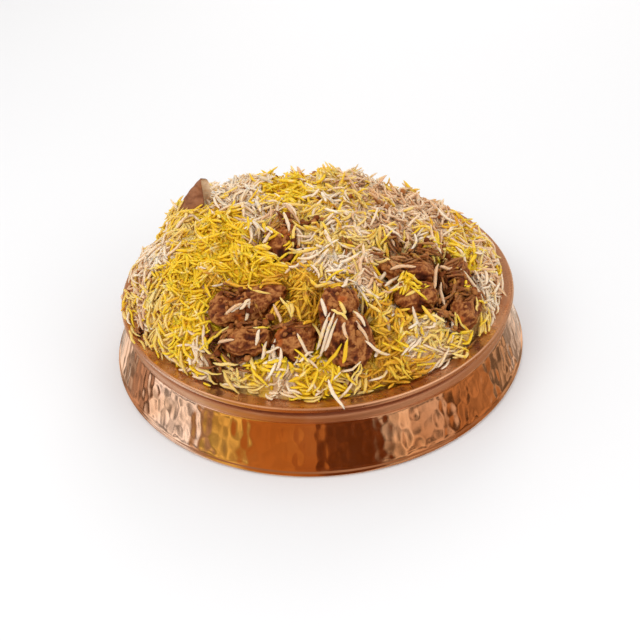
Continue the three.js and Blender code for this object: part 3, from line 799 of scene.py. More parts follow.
# ---------------------------------------------------------------------------------------------
# Bay leaf: cooked brown, folded lengthwise and stuck into the rice. The front flap shows its dull brown
# back, the far flap its pale inner side. One thin sheet with a round fold and side veins. Sizes in mm.
LEAF_FOOT = Vector((-87, 27, 81))
LEAF_TIP = Vector((-69, 30, 104))
LEAF_FRONT = Vector((0.96, -0.22, -0.03))
LEAF_FAR = Vector((0.97, 0.1, -0.1))
LEAF_GAP = Vector((0.1, -0.95, 0.1))
LEAF_FRONT_WIDTH = 12.5
LEAF_FAR_WIDTH = 15
LEAF_OPENING = 2.2
LEAF_TAPER = 20
LEAF_THICKNESS = 0.6
LEAF_WAVE = 0.8
LEAF_VEIN = 0.16
LEAF_OUTER = ((0.17, 0.05, 0.014), (0.33, 0.13, 0.055))
LEAF_INNER = ((0.6, 0.38, 0.22), (0.8, 0.62, 0.42))
LEAF_EDGE = (0.16, 0.045, 0.012)


def leaf_place(along, across):
    """A place on the leaf: along from foot to tip, across from the front flap's edge to the far one's."""
    turn = 0.5 * math.pi * across
    left = max(0, 1 - along)
    if across < 0:
        flap = LEAF_FRONT * min(LEAF_FRONT_WIDTH, LEAF_TAPER * left)
    else:
        flap = LEAF_FAR * min(LEAF_FAR_WIDTH, LEAF_TAPER * math.sqrt(left))
    narrow = min(1, 3 * math.sqrt(left))
    place = LEAF_FOOT.lerp(LEAF_TIP, along) + flap * (1 - math.cos(turn))
    wave = LEAF_WAVE * abs(across) * math.sin(9 * along + 2 * across)
    bulge = Vector((1.6, 0, -0.6)) * math.sin(math.pi * along) * (1 - abs(across))
    return place + LEAF_GAP * narrow * (wave - LEAF_OPENING * math.sin(turn)) - bulge


bpy.ops.object.select_all(action="DESELECT")
bpy.ops.mesh.primitive_grid_add(x_subdivisions=44, y_subdivisions=28, size=2)
leaf = bpy.context.object
leaf.name = "bay_leaf_sheet"
for vertex in leaf.data.vertices:
    across, along = vertex.co.x, 0.5 + 0.5 * vertex.co.y
    vein = LEAF_VEIN * math.cos(9 * math.pi * (along + 0.35 * abs(across))) * (1 - abs(across))
    vertex.co = (leaf_place(along, across) + Vector((-1, 0.2, 0)) * vein) * MM
for side in ("inner", "outer", "edge"):
    leaf.data.materials.append(bpy.data.materials.new(f"leaf_{side}"))
thicken = leaf.modifiers.new("sheet", "SOLIDIFY")
thicken.thickness = LEAF_THICKNESS * MM
thicken.offset = 0
thicken.material_offset = 1
thicken.material_offset_rim = 2
bpy.ops.object.modifier_apply(modifier=thicken.name)
bpy.ops.object.shade_smooth()


def leaf_finish(material, colours):
    """One side of the leaf: mottled between two colours, darker along its veins, with a fine bump."""
    material.use_nodes = True
    tree = material.node_tree
    shader = tree.nodes["Principled BSDF"]
    here = add_node(tree, "ShaderNodeTexCoord")
    mottle = noise_pattern(here, Scale=220, Detail=5, Roughness=0.6)
    mottled = tint(mottle, "Fac", [(0.35, colours[0]), (0.6, colours[1])])
    veins = add_node(tree, "ShaderNodeTexWave", wave_type="BANDS", bands_direction="Y")
    set_inputs(veins, Scale=2.6, Distortion=3.0, Detail=2)
    link(here, "UV", veins, "Vector")
    link(mottled, "Color", shader, "Base Color")
    add_bump(veins, "Fac", shader, Strength=0.15, Distance=0.0003)
    set_inputs(shader, Roughness=0.5)


for slot, colours in enumerate((LEAF_INNER, LEAF_OUTER, (LEAF_EDGE, LEAF_EDGE))):
    leaf_finish(leaf.data.materials[slot], colours)
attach(leaf, "root")
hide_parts("bay_leaf")

# ---------------------------------------------------------------------------------------------
# Grains: long basmati, steamed loose. Each is a slightly bent spindle that comes to rest on whatever lies
# under it: packed rice, pan, meat or other grains. Six kinds, by how saffron and gravy have dyed them.
MAP_CELL = 0.5
MAP_REACH = 134
STATIONS = np.linspace(-0.5, 0.5, 9)
RING_STATIONS = np.array([-0.46, -0.33, -0.12, 0.12, 0.33, 0.46])
GRAIN_SIDES = 6
# Whole grains' mean length, its spread and its ends; the others are broken. Most widths are slender.
GRAIN_LENGTH = (14, 1.9)
GRAIN_LENGTH_ENDS = (9, 17)
BROKEN_CHANCE = 0.08
BROKEN_LENGTH = (6, 10)
SLENDER_WIDTH = (1.6, 2.2)
SWOLLEN_CHANCE = 0.2
SWOLLEN_WIDTH = (2.2, 2.7)
# A grain's bow as a share of its length, and how much more the crooked ones have.
GRAIN_BOW = 0.07
CROOKED_CHANCE = 0.15
CROOKED_BOW = 2.4
CURLED_CHANCE = 0.25
CURL_MOST = 2.5
# How far a soft grain sags between what carries it, and how deep it presses in, in widths.
GRAIN_SETTLE = 0.85
GRAIN_PRESS = 0.32
GRAIN_PITCH = 0.2
GRAIN_STEEPEST = 2
# How far to each side of its middle the heap's slope is felt.
SLOPE_PROBE = 4
PAN_TOP = 42.8
# Beyond this radius a grain lies on the pan and doesn't press in.
FIRM_FROM = 110
# How much of a chunk's nest the top layer leaves open, and where it is heaped against a chunk: plan place,
# reach and rise.
NEST_OPEN = 0.6
BANKS = [
    (-23, -108, 9, 5), (-9, -110, 8, 4), (4, -109, 12, 2), (-103, 28, 12, -4), (-84, 44, 14, 1),
    (-18, -26, 10, -6), (-115, -14, 12, 4), (-109, -32, 12, 3), (-15, -96, 8, -6),
]

cells = int(2 * MAP_REACH / MAP_CELL)
axis_places = (np.arange(cells) + 0.5) * MAP_CELL - MAP_REACH
map_x, map_y = np.meshgrid(axis_places, axis_places, indexing="ij")
map_radius = np.hypot(map_x, map_y)
covered = 1 - np.max([nest_share(chunk, map_x, map_y) for chunk in CHUNKS], axis=0)
target = NEST_OPEN * bed_height(map_x, map_y)
open_lumps = lumps(map_x, map_y) * covered * edge_fade(map_x, map_y)
target += (1 - NEST_OPEN) * (heap_height(map_x, map_y) + open_lumps)
for bank_x, bank_y, reach, rise in BANKS:
    target += rise * np.exp(-((map_x - bank_x) ** 2 + (map_y - bank_y) ** 2) / reach ** 2)
target += 0.9 * np.array([
    [noise.noise(Vector((x, y, 0)) / 6) for y in axis_places[::4]] for x in axis_places[::4]
]).repeat(4, 0).repeat(4, 1)[:cells, :cells]
steep = steepness(map_x, map_y)
pan_radii = (113, *[p[0] for p in (FLANGE_INNER, FLANGE_OUTER)], 122.2, 123.5, 124.7, 125.1)
pan_heights = (41, FLANGE_INNER[1], FLANGE_OUTER[1], 42.9, 43.5, 42.9, 0)
ground = np.interp(map_radius, pan_radii, pan_heights)
on_core = map_radius < np.minimum(heap_edge(np.arctan2(map_y, map_x)) - 3, CORE_REACH)
ground = np.where(on_core, np.maximum(core_height(map_x, map_y), ground), ground)


def add_to_ground(piece):
    """Raises the map to the top of a piece that lies on the rice."""
    depsgraph = bpy.context.evaluated_depsgraph_get()
    tree = BVHTree.FromObject(piece, depsgraph)
    places = vertex_places(piece.data) / MM
    low = ((places.min(axis=0) + MAP_REACH) / MAP_CELL).astype(int)
    high = ((places.max(axis=0) + MAP_REACH) / MAP_CELL).astype(int) + 1
    for i in range(low[0], high[0]):
        for j in range(low[1], high[1]):
            start = Vector((axis_places[i], axis_places[j], 150)) * MM
            hit = tree.ray_cast(start, Vector((0, 0, -1)))[0]
            if hit:
                ground[i, j] = max(ground[i, j], hit.z / MM)


rice_only = ground.copy()
for piece in [*chunks, leaf]:
    add_to_ground(piece)


def map_index(values):
    """The map's rows or columns that those places lie in."""
    return np.clip(((np.asarray(values) + MAP_REACH) / MAP_CELL).astype(int), 0, cells - 1)


def rest_line(heights, run, random):
    """Height of the middle and slope of a stiff rod that rests on those heights at those runs."""
    left, right = run < 0, run > 0
    hl, hr, sl, sr = heights[left, None], heights[None, right], run[left, None], run[None, right]
    middle = (hl * sr - hr * sl) / (sr - sl)
    best = np.unravel_index(np.argmax(middle), middle.shape)
    peak = heights[len(heights) // 2]
    if peak <= middle[best]:
        return middle[best], (hr[0, best[1]] - hl[best[0], 0]) / (sr[0, best[1]] - sl[best[0], 0])
    lowest = np.max((heights[right] - peak) / run[right])
    highest = np.min((peak - heights[left]) / -run[left])
    return peak, lowest if random.random() < 0.5 else highest


def lay_grain(x, y, heading, size, margin, random, bridges=2):
    """The centreline of a grain laid at a place, or None where it would stand out of the heap."""
    length, width, bow, kink, curl = size
    i, j = int((x + MAP_REACH) / MAP_CELL), int((y + MAP_REACH) / MAP_CELL)
    if ground[i, j] + width > target[i, j] + margin:
        return None
    c, s = math.cos(heading), math.sin(heading)
    ends_i = map_index(np.array([x + SLOPE_PROBE * c, x - SLOPE_PROBE * c]))
    ends_j = map_index(np.array([y + SLOPE_PROBE * s, y - SLOPE_PROBE * s]))
    fall = (target[ends_i[0], ends_j[0]] - target[ends_i[1], ends_j[1]]) / (2 * SLOPE_PROBE)
    run = STATIONS * length / math.hypot(1, fall)
    side = bow * (1 - 4 * STATIONS ** 2) + kink * np.sin(2 * math.pi * STATIONS)
    px, py = x + run * c - side * s, y + run * s + side * c
    lanes = [ground[map_index(px - k * s), map_index(py + k * c)] for k in (-0.3 * width, 0, 0.3 * width)]
    heights = np.max(lanes, axis=0)
    middle, slope = rest_line(heights, run, random)
    if middle + width > target[i, j] + margin:
        return None
    slope = max(-GRAIN_STEEPEST, min(GRAIN_STEEPEST, slope))
    # One end dives in among its neighbours, the other shows its tip.
    line = middle + (slope + random.normal(0, GRAIN_PITCH)) * run
    if np.mean(line - heights) > bridges:
        return None
    line = line + GRAIN_SETTLE * np.clip(heights - line, -2.5, 0)
    line[1:-1] = 0.25 * line[:-2] + 0.5 * line[1:-1] + 0.25 * line[2:]
    line = line + np.where(np.hypot(px, py) > FIRM_FROM, 0.5, GRAIN_PRESS) * width
    return np.stack([px, py, line + curl * 4 * STATIONS ** 2], axis=1)


def stamp_grain(line, width):
    """Raises the map to the top of a grain."""
    fine = np.linspace(0, len(line) - 1, 30)
    samples = np.stack([np.interp(fine, np.arange(len(line)), line[:, k]) for k in range(3)], axis=1)
    spread = np.arange(-2, 3)
    i = map_index(samples[:, 0])[:, None, None] + spread[None, :, None]
    j = map_index(samples[:, 1])[:, None, None] + spread[None, None, :]
    i, j = np.clip(i, 0, cells - 1), np.clip(j, 0, cells - 1)
    away_x, away_y = axis_places[i] - samples[:, 0, None, None], axis_places[j] - samples[:, 1, None, None]
    away = away_x ** 2 + away_y ** 2
    half = width / 2
    top = samples[:, 2, None, None] + np.sqrt(np.clip(half * half - away, 0, None))
    top = np.where(away < half * half, top, -1)
    np.maximum.at(ground, (np.broadcast_to(i, top.shape), np.broadcast_to(j, top.shape)), top)


def grain_size(random):
    """Length, width, bow, kink and curl of a grain: most are whole and slender, some broken or swollen."""
    if random.random() < BROKEN_CHANCE:
        length = random.uniform(*BROKEN_LENGTH)
    else:
        length = np.clip(random.normal(*GRAIN_LENGTH), *GRAIN_LENGTH_ENDS)
    width = random.uniform(*(SWOLLEN_WIDTH if random.random() < SWOLLEN_CHANCE else SLENDER_WIDTH))
    bow = random.normal(0, GRAIN_BOW) * length
    if random.random() < CROOKED_CHANCE:
        bow *= CROOKED_BOW
    curl = random.exponential(0.7) if random.random() < CURLED_CHANCE else 0
    return length, width, bow, random.normal(0, 0.4), min(curl, CURL_MOST)


coarse_shares = dye_shares(map_x[::4, ::4], map_y[::4, ::4])
kind_shares = np.cumsum(coarse_shares, axis=0).repeat(4, 1).repeat(4, 2)


def grain_kind(line, random):
    """Which kind a grain is, by where it lies."""
    x, y, _ = line[len(line) // 2]
    shares = kind_shares[:, map_index(x), map_index(y)]
    return list(GRAIN_KINDS)[min(int(np.searchsorted(shares, random.random())), len(shares) - 1)]


def keep_grain(line, size, kind, random):
    """Counts a laid grain in, with a tone of its own."""
    stamp_grain(line, size[1])
    x, y, _ = line[len(line) // 2]
    local = 0.5 + 0.9 * noise.noise(Vector((x, y, 60)) / 13)
    grains[kind].append((line, size[1], min(1, max(0, 0.55 * local + 0.45 * random.random()))))


bed = ground.copy()
random = np.random.default_rng(21)
grains = {kind: [] for kind in GRAIN_KINDS}
# Passes: how many tries, how far a grain may stand out of the heap, at least and at most, and how far out
# it lies at least, from 0 in the middle to 1 at the edge.
PASSES = [
    (60000, -1.8, 0.3, 0), (60000, -1.5, 0.6, 0.86), (60000, -0.6, 1.1, 0), (60000, -0.3, 1.5, 0.88),
    (70000, 0.4, 1.8, 0),
]
# Near the edge and on steep slopes more of the grains lie along the slope.
EDGE_FROM = 0.86
EDGE_OVERLAP = 1.5
CLUMP_CHANCE = 0.5
CLUMP_STEP = 1.7
ON_MEAT_CHANCE = 0.014
ON_MEAT_ROOM = 12
for tries, low, high, innermost in PASSES:
    for _ in range(tries):
        out = innermost + (1 - innermost) * random.random() ** 0.45
        angle = 2 * math.pi * random.random()
        reach = float(heap_edge(angle) + spill(angle)) + EDGE_OVERLAP
        x, y = reach * out * math.cos(angle), reach * out * math.sin(angle)
        i, j = int((x + MAP_REACH) / MAP_CELL), int((y + MAP_REACH) / MAP_CELL)
        margin = random.uniform(low, high) * steep[i, j]
        if random.random() < ON_MEAT_CHANCE:
            margin += ON_MEAT_ROOM * max(float(nest_share(chunk, x, y)) for chunk in CHUNKS)
        if ground[i, j] + 1.3 > target[i, j] + margin:
            continue
        swirl = 2 * math.pi * noise.noise(Vector((x, y, 40)) / 30)
        draw = random.random()
        if draw < max(0.7 * (steep[i, j] - 1), 0.6 * (out > EDGE_FROM)):
            heading = angle + 0.5 * math.pi + random.normal(0, 0.5)
        else:
            heading = swirl + random.normal(0, 0.55) if draw > 0.7 else math.pi * random.random()
        size = grain_size(random)
        line = lay_grain(x, y, heading, size, margin, random)
        if line is None:
            continue
        kind = grain_kind(line, random)
        keep_grain(line, size, kind, random)
        # Some grains cling side by side.
        while random.random() < CLUMP_CHANCE / steep[i, j] ** 2:
            x, y = x - CLUMP_STEP * math.sin(heading), y + CLUMP_STEP * math.cos(heading)
            heading += random.normal(0, 0.16)
            mate = (size[0] * random.uniform(0.8, 1.1), size[1] * random.uniform(0.85, 1.15), *size[2:])
            line = lay_grain(x, y, heading, mate, margin + 0.5, random)
            if line is None:
                break
            keep_grain(line, mate, kind, random)

# More grains wherever packed rice or flange still shows between the others.
FILL_ROUNDS = 22
FILL_TRIES = 700
FILL_ROOM = 1.4
FILL_STEEP = 1.4
# A place is bare where the map has risen by less than this.
BARE = 0.3
open_rice = (covered > 0.1) & (map_radius < heap_edge(np.arctan2(map_y, map_x)) - 0.5)
for _ in range(FILL_ROUNDS):
    for i, j in random.permutation(np.argwhere(open_rice & (ground - bed < BARE)))[:FILL_TRIES]:
        x, y = axis_places[i], axis_places[j]
        spread = 0.7 if steep[i, j] > FILL_STEEP else 2
        heading = math.atan2(y, x) + 0.5 * math.pi + random.normal(0, spread)
        size = grain_size(random)
        line = lay_grain(x, y, heading, size, FILL_ROOM * steep[i, j], random)
        if line is not None:
            keep_grain(line, size, grain_kind(line, random), random)

def blurred(heights, reach):
    """The map averaged over a square that reaches so many cells to each side."""
    for axis in (0, 1):
        padded = np.pad(heights, [(reach + 1, reach) if k == axis else (0, 0) for k in (0, 1)], mode="edge")
        sums = np.cumsum(padded, axis=axis)
        full = 2 * reach + 1
        upper = np.take(sums, range(full, sums.shape[axis]), axis=axis)
        lower = np.take(sums, range(0, sums.shape[axis] - full), axis=axis)
        heights = (upper - lower) / full
    return heights


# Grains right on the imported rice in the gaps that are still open, with their ends under the others.
GAP_ROUNDS = 30
GAP_TRIES = 120
GAP_REACH = 109
GAP_LENGTH = 13
GAP_LIFT = 0.4
smooth_bed = blurred(rice_only, 3)
open_gaps = (map_radius < GAP_REACH) & (bed - rice_only < BARE)
for _ in range(GAP_ROUNDS):
    for i, j in random.permutation(np.argwhere(open_gaps & (ground - bed < BARE)))[:GAP_TRIES]:
        if ground[i, j] - bed[i, j] > BARE:
            continue
        size = grain_size(random)
        heading = math.atan2(axis_places[j], axis_places[i]) + 0.5 * math.pi + random.normal(0, 0.8)
        c, s = math.cos(heading), math.sin(heading)
        run = STATIONS * min(size[0], GAP_LENGTH) / (0.5 + 0.5 * steep[i, j])
        side = size[2] * (1 - 4 * STATIONS ** 2)
        px, py = axis_places[i] + run * c - side * s, axis_places[j] + run * s + side * c
        heights = smooth_bed[map_index(px), map_index(py)] + GAP_LIFT * size[1]
        line = np.stack([px, py, heights], axis=1)
        if np.all(line[:, 2] < target[i, j] + 4 * steep[i, j]):
            keep_grain(line, size, grain_kind(line, random), random)

# Grains laid over the meat and the rim: plan place of the middle, turn in degrees, length, bow and kind.
STRAND_WIDTH = (1.9, 2.4)
STRANDS = [
    (72, -24, -48, 14, 1, "beige"), (74, -14, -74, 14, -1, "beige"), (50, -52, -3, 17, 1, "beige"),
    (37, -62, 65, 17, 1, "beige"), (70, -50, 75, 17, 1, "beige"), (77, -38, -30, 9, 0, "beige"),
    (73, -56, 90, 15, 1, "beige"), (16, -67, 73, 16, 0, "white"), (3, -85, 100, 12, 0, "white"),
    (4, -97, 50, 15, 0, "white"), (6, -98.5, 54, 14, 0, "white"), (2, -95, 47, 13, 0, "white"),
    (21, -90, -53, 15, 1, "white"), (23, -97, -50, 10, 0, "beige"), (33, -84, -43, 16, 1, "pale"),
    (31, -101, 0, 14, -2, "white"), (15, -99, 90, 13, 2, "beige"), (24, -64, 85, 9, 0, "beige"),
    (39, -69, 25, 11, 0, "beige"), (43, -59, 50, 15, 1, "white"), (12, -88, -80, 10, 2, "pale"),
    (11, -93, -25, 10, 1, "pale"), (2, -65, -8, 14, -4, "pale"), (-39, -80, 60, 9, 0, "white"),
    (-23, -83, -72, 17, 1, "beige"), (-34, -94, 65, 7, 0, "white"),
    (-31, -98, 70, 11, 0, "white"), (-8, -105, 45, 12, 0, "white"), (13, -107, 60, 8, 0, "saffron"),
    (7, -119, -54, 14, -1, "white"), (-26, -26, -75, 17, 0, "white"), (-16, -18, -80, 17, 1, "white"),
    (-22, -29, -6, 11, 0, "saffron"), (-11, -29, 80, 16, 1, "pale"), (-42, 0, -88, 16, 0, "white"),
    (-25, -5, 35, 17, 2, "beige"), (-12, -6, -53, 17, 1, "beige"), (-14, -3, -50, 16, 2, "white"),
    (4, -16, 32, 13, 0, "white"), (3, -41, -63, 9, 0, "white"), (-10, -53, 10, 12, 0, "white"),
    (-1, -59, -63, 12, 2, "white"), (1, -23, -34, 16, 0, "saffron"), (6, -33, -67, 12, 0, "white"),
    (-65, -84, 85, 15, 0, "white"), (-119, 25, 10, 13, 0, "pale"), (110, 22, 15, 14, 0, "white"),
    (50, -60, 20, 10, 1, "saffron"), (54, -63, -30, 9, 0, "saffron"), (52, -62, 60, 9, 0, "saffron"),
    (56, -60, 5, 11, 1, "saffron"), (-56, -84, 4, 14, 1, "pale"), (-52, -91, -40, 14, 0, "beige"),
    (-61, -92, -37, 11, 0, "pale"), (-43, -80, 0, 11, 1, "white"), (-40, -80, 35, 9, 0, "white"),
    (-47, -80, -12, 11, 0, "beige"),
]
for x, y, turn, length, bow, kind in STRANDS:
    size = (length, random.uniform(*STRAND_WIDTH), bow, 0.3, 0)
    keep_grain(lay_grain(x, y, math.radians(turn), size, 50, random, bridges=50), size, kind, random)

# Long grains that lie across the others on top and bridge their hollows.
BRIDGES = 750
BRIDGE_GAP = 3
BRIDGE_LENGTH = (13, 18)
BRIDGE_WIDTH = (1.7, 2.1)
for _ in range(BRIDGES):
    out, angle = random.random() ** 0.5, 2 * math.pi * random.random()
    reach = float(heap_edge(angle)) - 6
    x, y = reach * out * math.cos(angle), reach * out * math.sin(angle)
    if max(float(nest_share(chunk, x, y)) for chunk in CHUNKS) > 0.12:
        continue
    length, width = random.uniform(*BRIDGE_LENGTH), random.uniform(*BRIDGE_WIDTH)
    size = (length, width, random.normal(0, 2), random.normal(0, 0.6), 0)
    line = lay_grain(x, y, 2 * math.pi * random.random(), size, 4, random, bridges=BRIDGE_GAP)
    if line is not None:
        keep_grain(line, size, grain_kind(line, random), random)

# Loose grains that lie on the flange along the edge of the heap.
FRINGE_GRAINS = 260
for _ in range(FRINGE_GRAINS):
    angle = 2 * math.pi * random.random()
    reach = float(heap_edge(angle) + spill(angle)) + random.uniform(-3, 1.5)
    heading = angle + 0.5 * math.pi + random.normal(0, 0.7)
    size = grain_size(random)
    line = lay_grain(reach * math.cos(angle), reach * math.sin(angle), heading, size, 3, random)
    if line is not None:
        keep_grain(line, size, grain_kind(line, random), random)


# Grains that are mostly buried, with a tip that sticks up out of the heap.
TIPS = 1500
TIP_RISE = (5, 30)
TIP_SHOWS = (0.3, 0.65)
TIP_LENGTH = 13
slope_x, slope_y = np.gradient(blurred(ground, 6), MAP_CELL)
for _ in range(TIPS):
    out, angle = random.random() ** 0.5, 2 * math.pi * random.random()
    reach = float(heap_edge(angle)) - 2
    x, y = reach * out * math.cos(angle), reach * out * math.sin(angle)
    i, j = map_index(x), map_index(y)
    on_meat = max(float(nest_share(chunk, x, y)) for chunk in CHUNKS) > 0.4
    if on_meat or ground[i, j] > target[i, j] + 5:
        continue
    normal = Vector((-slope_x[i, j], -slope_y[i, j], 1)).normalized()
    heading, rise = 2 * math.pi * random.random(), math.radians(random.uniform(*TIP_RISE))
    flat = Vector((math.cos(heading), math.sin(heading), 0))
    flat = (flat - flat.dot(normal) * normal).normalized()
    way = np.array(flat * math.cos(rise) + normal * math.sin(rise))
    aside = np.array(normal.cross(flat))
    size = grain_size(random)
    length = min(size[0], TIP_LENGTH)
    root = np.array((x, y, ground[i, j])) - random.uniform(0.5, 1) * np.array(normal)
    along = (STATIONS + 0.5 - random.uniform(*TIP_SHOWS)) * length
    line = root + along[:, None] * way + (size[2] * (1 - 4 * STATIONS ** 2))[:, None] * aside
    on_pan = np.hypot(line[:, 0], line[:, 1]) > CORE_REACH - 0.5
    if np.any(on_pan & (line[:, 2] < 0.6 * size[1] + PAN_TOP)):
        continue
    keep_grain(line, size, grain_kind(line, random), random)


surface = blurred(ground, 12)
# Painted light and shade: grains take their dye's shading colour from this deep under the surface on, over
# this much more, and on their lower sides; lighter and warmer for the pale dyes, darker for the dark ones.
PAINTED_SHADING_START = 1.1
PAINTED_SHADING_REACH = 4.5
UNDERSIDE_FROM = 0.3
UNDERSIDE_SHADING = 0.55


def grain_mesh(name, laid):
    """All grains of a kind as one mesh, with a tone of its own on each and painted light and shade by depth
    and on lower sides.
    """
    count = len(laid)
    random = np.random.default_rng(count)
    lines = np.stack([line for line, _, _ in laid])
    widths = np.array([width for _, width, _ in laid])
    tones = np.array([tone for _, _, tone in laid])
    places = np.empty((count, 8, 3))
    stations = np.array([-0.5, *RING_STATIONS, 0.5])
    for k in range(3):
        for n, station in enumerate(stations):
            at = (station + 0.5) * (len(STATIONS) - 1)
            low = min(int(at), len(STATIONS) - 2)
            places[:, n, k] = lines[:, low, k] * (low + 1 - at) + lines[:, low + 1, k] * (at - low)
    ways = np.gradient(places, axis=1)
    ways /= np.linalg.norm(ways, axis=2, keepdims=True)
    sides = np.cross(ways, (0, 0, 1.0))
    sides /= np.linalg.norm(sides, axis=2, keepdims=True) + 1e-9
    ups = np.cross(sides, ways)
    shares = (1 - np.abs(2 * RING_STATIONS) ** 3) ** 0.58 * (1 - 0.25 * RING_STATIONS)
    shares = shares * random.uniform(0.88, 1.1, (count, len(RING_STATIONS)))
    flatness = random.uniform(0.65, 0.95, (count, 1, 1, 1))
    around = 2 * math.pi * np.arange(GRAIN_SIDES) / GRAIN_SIDES
    half = widths[:, None, None, None] / 2 * shares[:, :, None, None]
    ring = places[:, 1:7, None, :] + half * (
        np.cos(around)[None, None, :, None] * sides[:, 1:7, None, :]
        + flatness * np.sin(around)[None, None, :, None] * ups[:, 1:7, None, :]
    )
    rings = ring.reshape(count, -1, 3)
    points = np.concatenate([rings, places[:, :1], places[:, 7:]], axis=1)
    per_grain = points.shape[1]
    quads, tips = [], []
    for band in range(5):
        for i in range(GRAIN_SIDES):
            a, b = band * GRAIN_SIDES + i, band * GRAIN_SIDES + (i + 1) % GRAIN_SIDES
            quads.append((a, a + GRAIN_SIDES, b + GRAIN_SIDES, b))
    for i in range(GRAIN_SIDES):
        j = (i + 1) % GRAIN_SIDES
        tips.append((i, j, per_grain - 2))
        tips.append((5 * GRAIN_SIDES + j, 5 * GRAIN_SIDES + i, per_grain - 1))
    mesh = bpy.data.meshes.new(name)
    starts = per_grain * np.arange(count)
    all_quads = (np.array(quads)[None] + starts[:, None, None]).reshape(-1)
    all_tips = (np.array(tips)[None] + starts[:, None, None]).reshape(-1)
    corners = np.concatenate([all_quads, all_tips])
    n_quads, n_tips = len(all_quads) // 4, len(all_tips) // 3
    mesh.vertices.add(per_grain * count)
    mesh.vertices.foreach_set("co", (points.reshape(-1) * MM).astype(np.float32))
    mesh.loops.add(len(corners))
    mesh.loops.foreach_set("vertex_index", corners.astype(np.int32))
    mesh.polygons.add(n_quads + n_tips)
    first = np.concatenate([4 * np.arange(n_quads), 4 * n_quads + 3 * np.arange(n_tips)])
    mesh.polygons.foreach_set("loop_start", first.astype(np.int32))
    mesh.update(calc_edges=True)
    mesh.shade_smooth()
    tone = mesh.attributes.new("tone", "FLOAT", "POINT")
    tone.data.foreach_set("value", np.repeat(tones, per_grain).astype(np.float32))
    flat = points.reshape(-1, 3)
    # Painted light and shade: its share grows with depth under the smoothed surface and on the grains'
    # lower sides.
    under = surface[map_index(flat[:, 0]), map_index(flat[:, 1])] - flat[:, 2]
    underside = np.tile(UNDERSIDE_SHADING * np.clip(UNDERSIDE_FROM - np.sin(around), 0, 1), len(RING_STATIONS))
    underside = np.tile([*underside, 0.1, 0.1], count)
    deep = np.clip(np.clip((under - PAINTED_SHADING_START) / PAINTED_SHADING_REACH, 0, 1) + underside, 0, 1)
    painted_shading = mesh.attributes.new("painted_shading", "FLOAT", "POINT")
    painted_shading.data.foreach_set("value", deep.astype(np.float32))
    return mesh


def grain_finish(name, shading_colour, colours, blot, blot_share):
    """Cooked rice: translucent and moist, each grain its own tone, with blots of another dye and painted
    light and shade that turns deep and lower faces to the shading colour.
    """
    material, tree, shader = new_material(name)
    here = add_node(tree, "ShaderNodeTexCoord")
    tone = add_node(tree, "ShaderNodeAttribute", attribute_name="tone")
    painted_shading = add_node(tree, "ShaderNodeAttribute", attribute_name="painted_shading")
    toned = tint(tone, "Fac", [(0, colours[0]), (0.5, colours[1]), (1, colours[2])])
    blots = noise_pattern(here, Scale=170, Detail=3, Roughness=0.5)
    blot_mask = stretch(blots, "Fac", From_Min=blot_share, From_Max=blot_share + 0.12)
    dyed = lay_over(blot_mask, 0, blot, toned)
    # Painted light and shade: deep and lower faces take the shading colour, lighter for the pale dyes,
    # darker for the dark ones.
    gravy = lay_over(painted_shading, "Fac", shading_colour, dyed, "Result")
    link(gravy, "Result", shader, "Base Color")
    set_inputs(shader, Roughness=0.45, Subsurface_Weight=0.6, Subsurface_Scale=0.0024)
    shader.inputs["Subsurface Radius"].default_value = (1.0, 0.85, 0.7)
    return material


GRAIN_FINISHES = {
    "white": (((0.68, 0.48, 0.3), (0.77, 0.59, 0.42), (0.86, 0.72, 0.57)), (0.76, 0.51, 0.16), 0.57),
    "pale": (((0.7, 0.45, 0.1), (0.76, 0.52, 0.15), (0.81, 0.6, 0.26)), (0.77, 0.48, 0.02), 0.5),
    "saffron": (((0.73, 0.43, 0.009), (0.79, 0.49, 0.011), (0.82, 0.55, 0.03)), (0.8, 0.6, 0.26), 0.56),
    "amber": (((0.54, 0.24, 0.01), (0.68, 0.36, 0.013), (0.78, 0.49, 0.05)), (0.4, 0.15, 0.02), 0.58),
    "beige": (((0.56, 0.31, 0.15), (0.69, 0.45, 0.27), (0.79, 0.59, 0.41)), (0.56, 0.28, 0.06), 0.58),
    "gravy": (((0.14, 0.035, 0.005), (0.27, 0.09, 0.018), (0.46, 0.22, 0.08)), (0.42, 0.2, 0.02), 0.55),
}
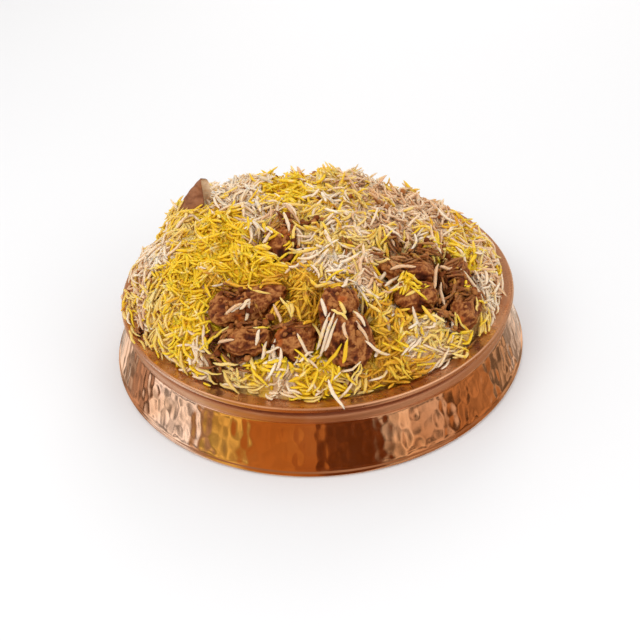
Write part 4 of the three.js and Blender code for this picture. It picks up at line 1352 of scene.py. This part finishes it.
for kind, laid in grains.items():
    mesh = grain_mesh(f"grains_{kind}", laid)
    piece = bpy.data.objects.new(f"grains_{kind}", mesh)
    bpy.context.collection.objects.link(piece)
    mesh.materials.append(grain_finish(f"rice_{kind}", GRAIN_KINDS[kind][1], *GRAIN_FINISHES[kind]))
    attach(piece, "root")
    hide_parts("rice")

# ---------------------------------------------------------------------------------------------
# Masala crumbs: bits of fried onion, spice and shredded meat, as dark and oily as the meat's own coat.
# They lie half sunk between the grains, mostly where gravy has dyed the rice. Sizes in mm.
CRUMBS = 280
CRUMB_AREA = 112
CRUMB_SIZES = (0.9, 2.4)
bpy.ops.object.select_all(action="DESELECT")
bpy.ops.mesh.primitive_ico_sphere_add(subdivisions=2, radius=1)
pebble = bpy.context.object
round_places = vertex_places(pebble.data)
round_faces = np.array([face.vertices[:] for face in pebble.data.polygons])
bpy.data.objects.remove(pebble)
gravy_share = kind_shares[-1] - kind_shares[-2]
crumb_places, crumb_faces = [], []
while len(crumb_places) < CRUMBS:
    x, y = random.uniform(-CRUMB_AREA, CRUMB_AREA, 2)
    i, j = map_index(x), map_index(y)
    if map_radius[i, j] > CRUMB_AREA or random.random() > 0.02 + 3 * gravy_share[i, j]:
        continue
    reach = random.uniform(*CRUMB_SIZES) * random.uniform(0.5, 1, 3)
    seed = Vector(random.uniform(0, 99, 3))
    rough = np.array([1 + 0.6 * noise.noise(1.6 * Vector(place) + seed) for place in round_places])
    turned = Euler(random.uniform(0, 6, 3)).to_matrix()
    shape = (round_places * rough[:, None] * reach) @ np.array(turned)
    crumb_faces.append(round_faces + len(crumb_places) * len(round_places))
    crumb_places.append(shape + (x, y, min(ground[i, j], surface[i, j] + 0.4) + 0.2 * reach.max()))
mesh = bpy.data.meshes.new("masala_crumbs")
mesh.from_pydata(np.concatenate(crumb_places) * MM, [], np.concatenate(crumb_faces))
mesh.shade_smooth()
tone_and_crease_shade = mesh.attributes.new("tone_and_crease_shade", "FLOAT", "POINT")
crumb_tones = np.repeat(random.uniform(0.35, 0.95, CRUMBS), len(round_places))
tone_and_crease_shade.data.foreach_set("value", crumb_tones.astype(np.float32))
mesh.materials.append(meat)
crumbs = bpy.data.objects.new("masala_crumbs", mesh)
bpy.context.collection.objects.link(crumbs)
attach(crumbs, "root")
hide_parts("rice")
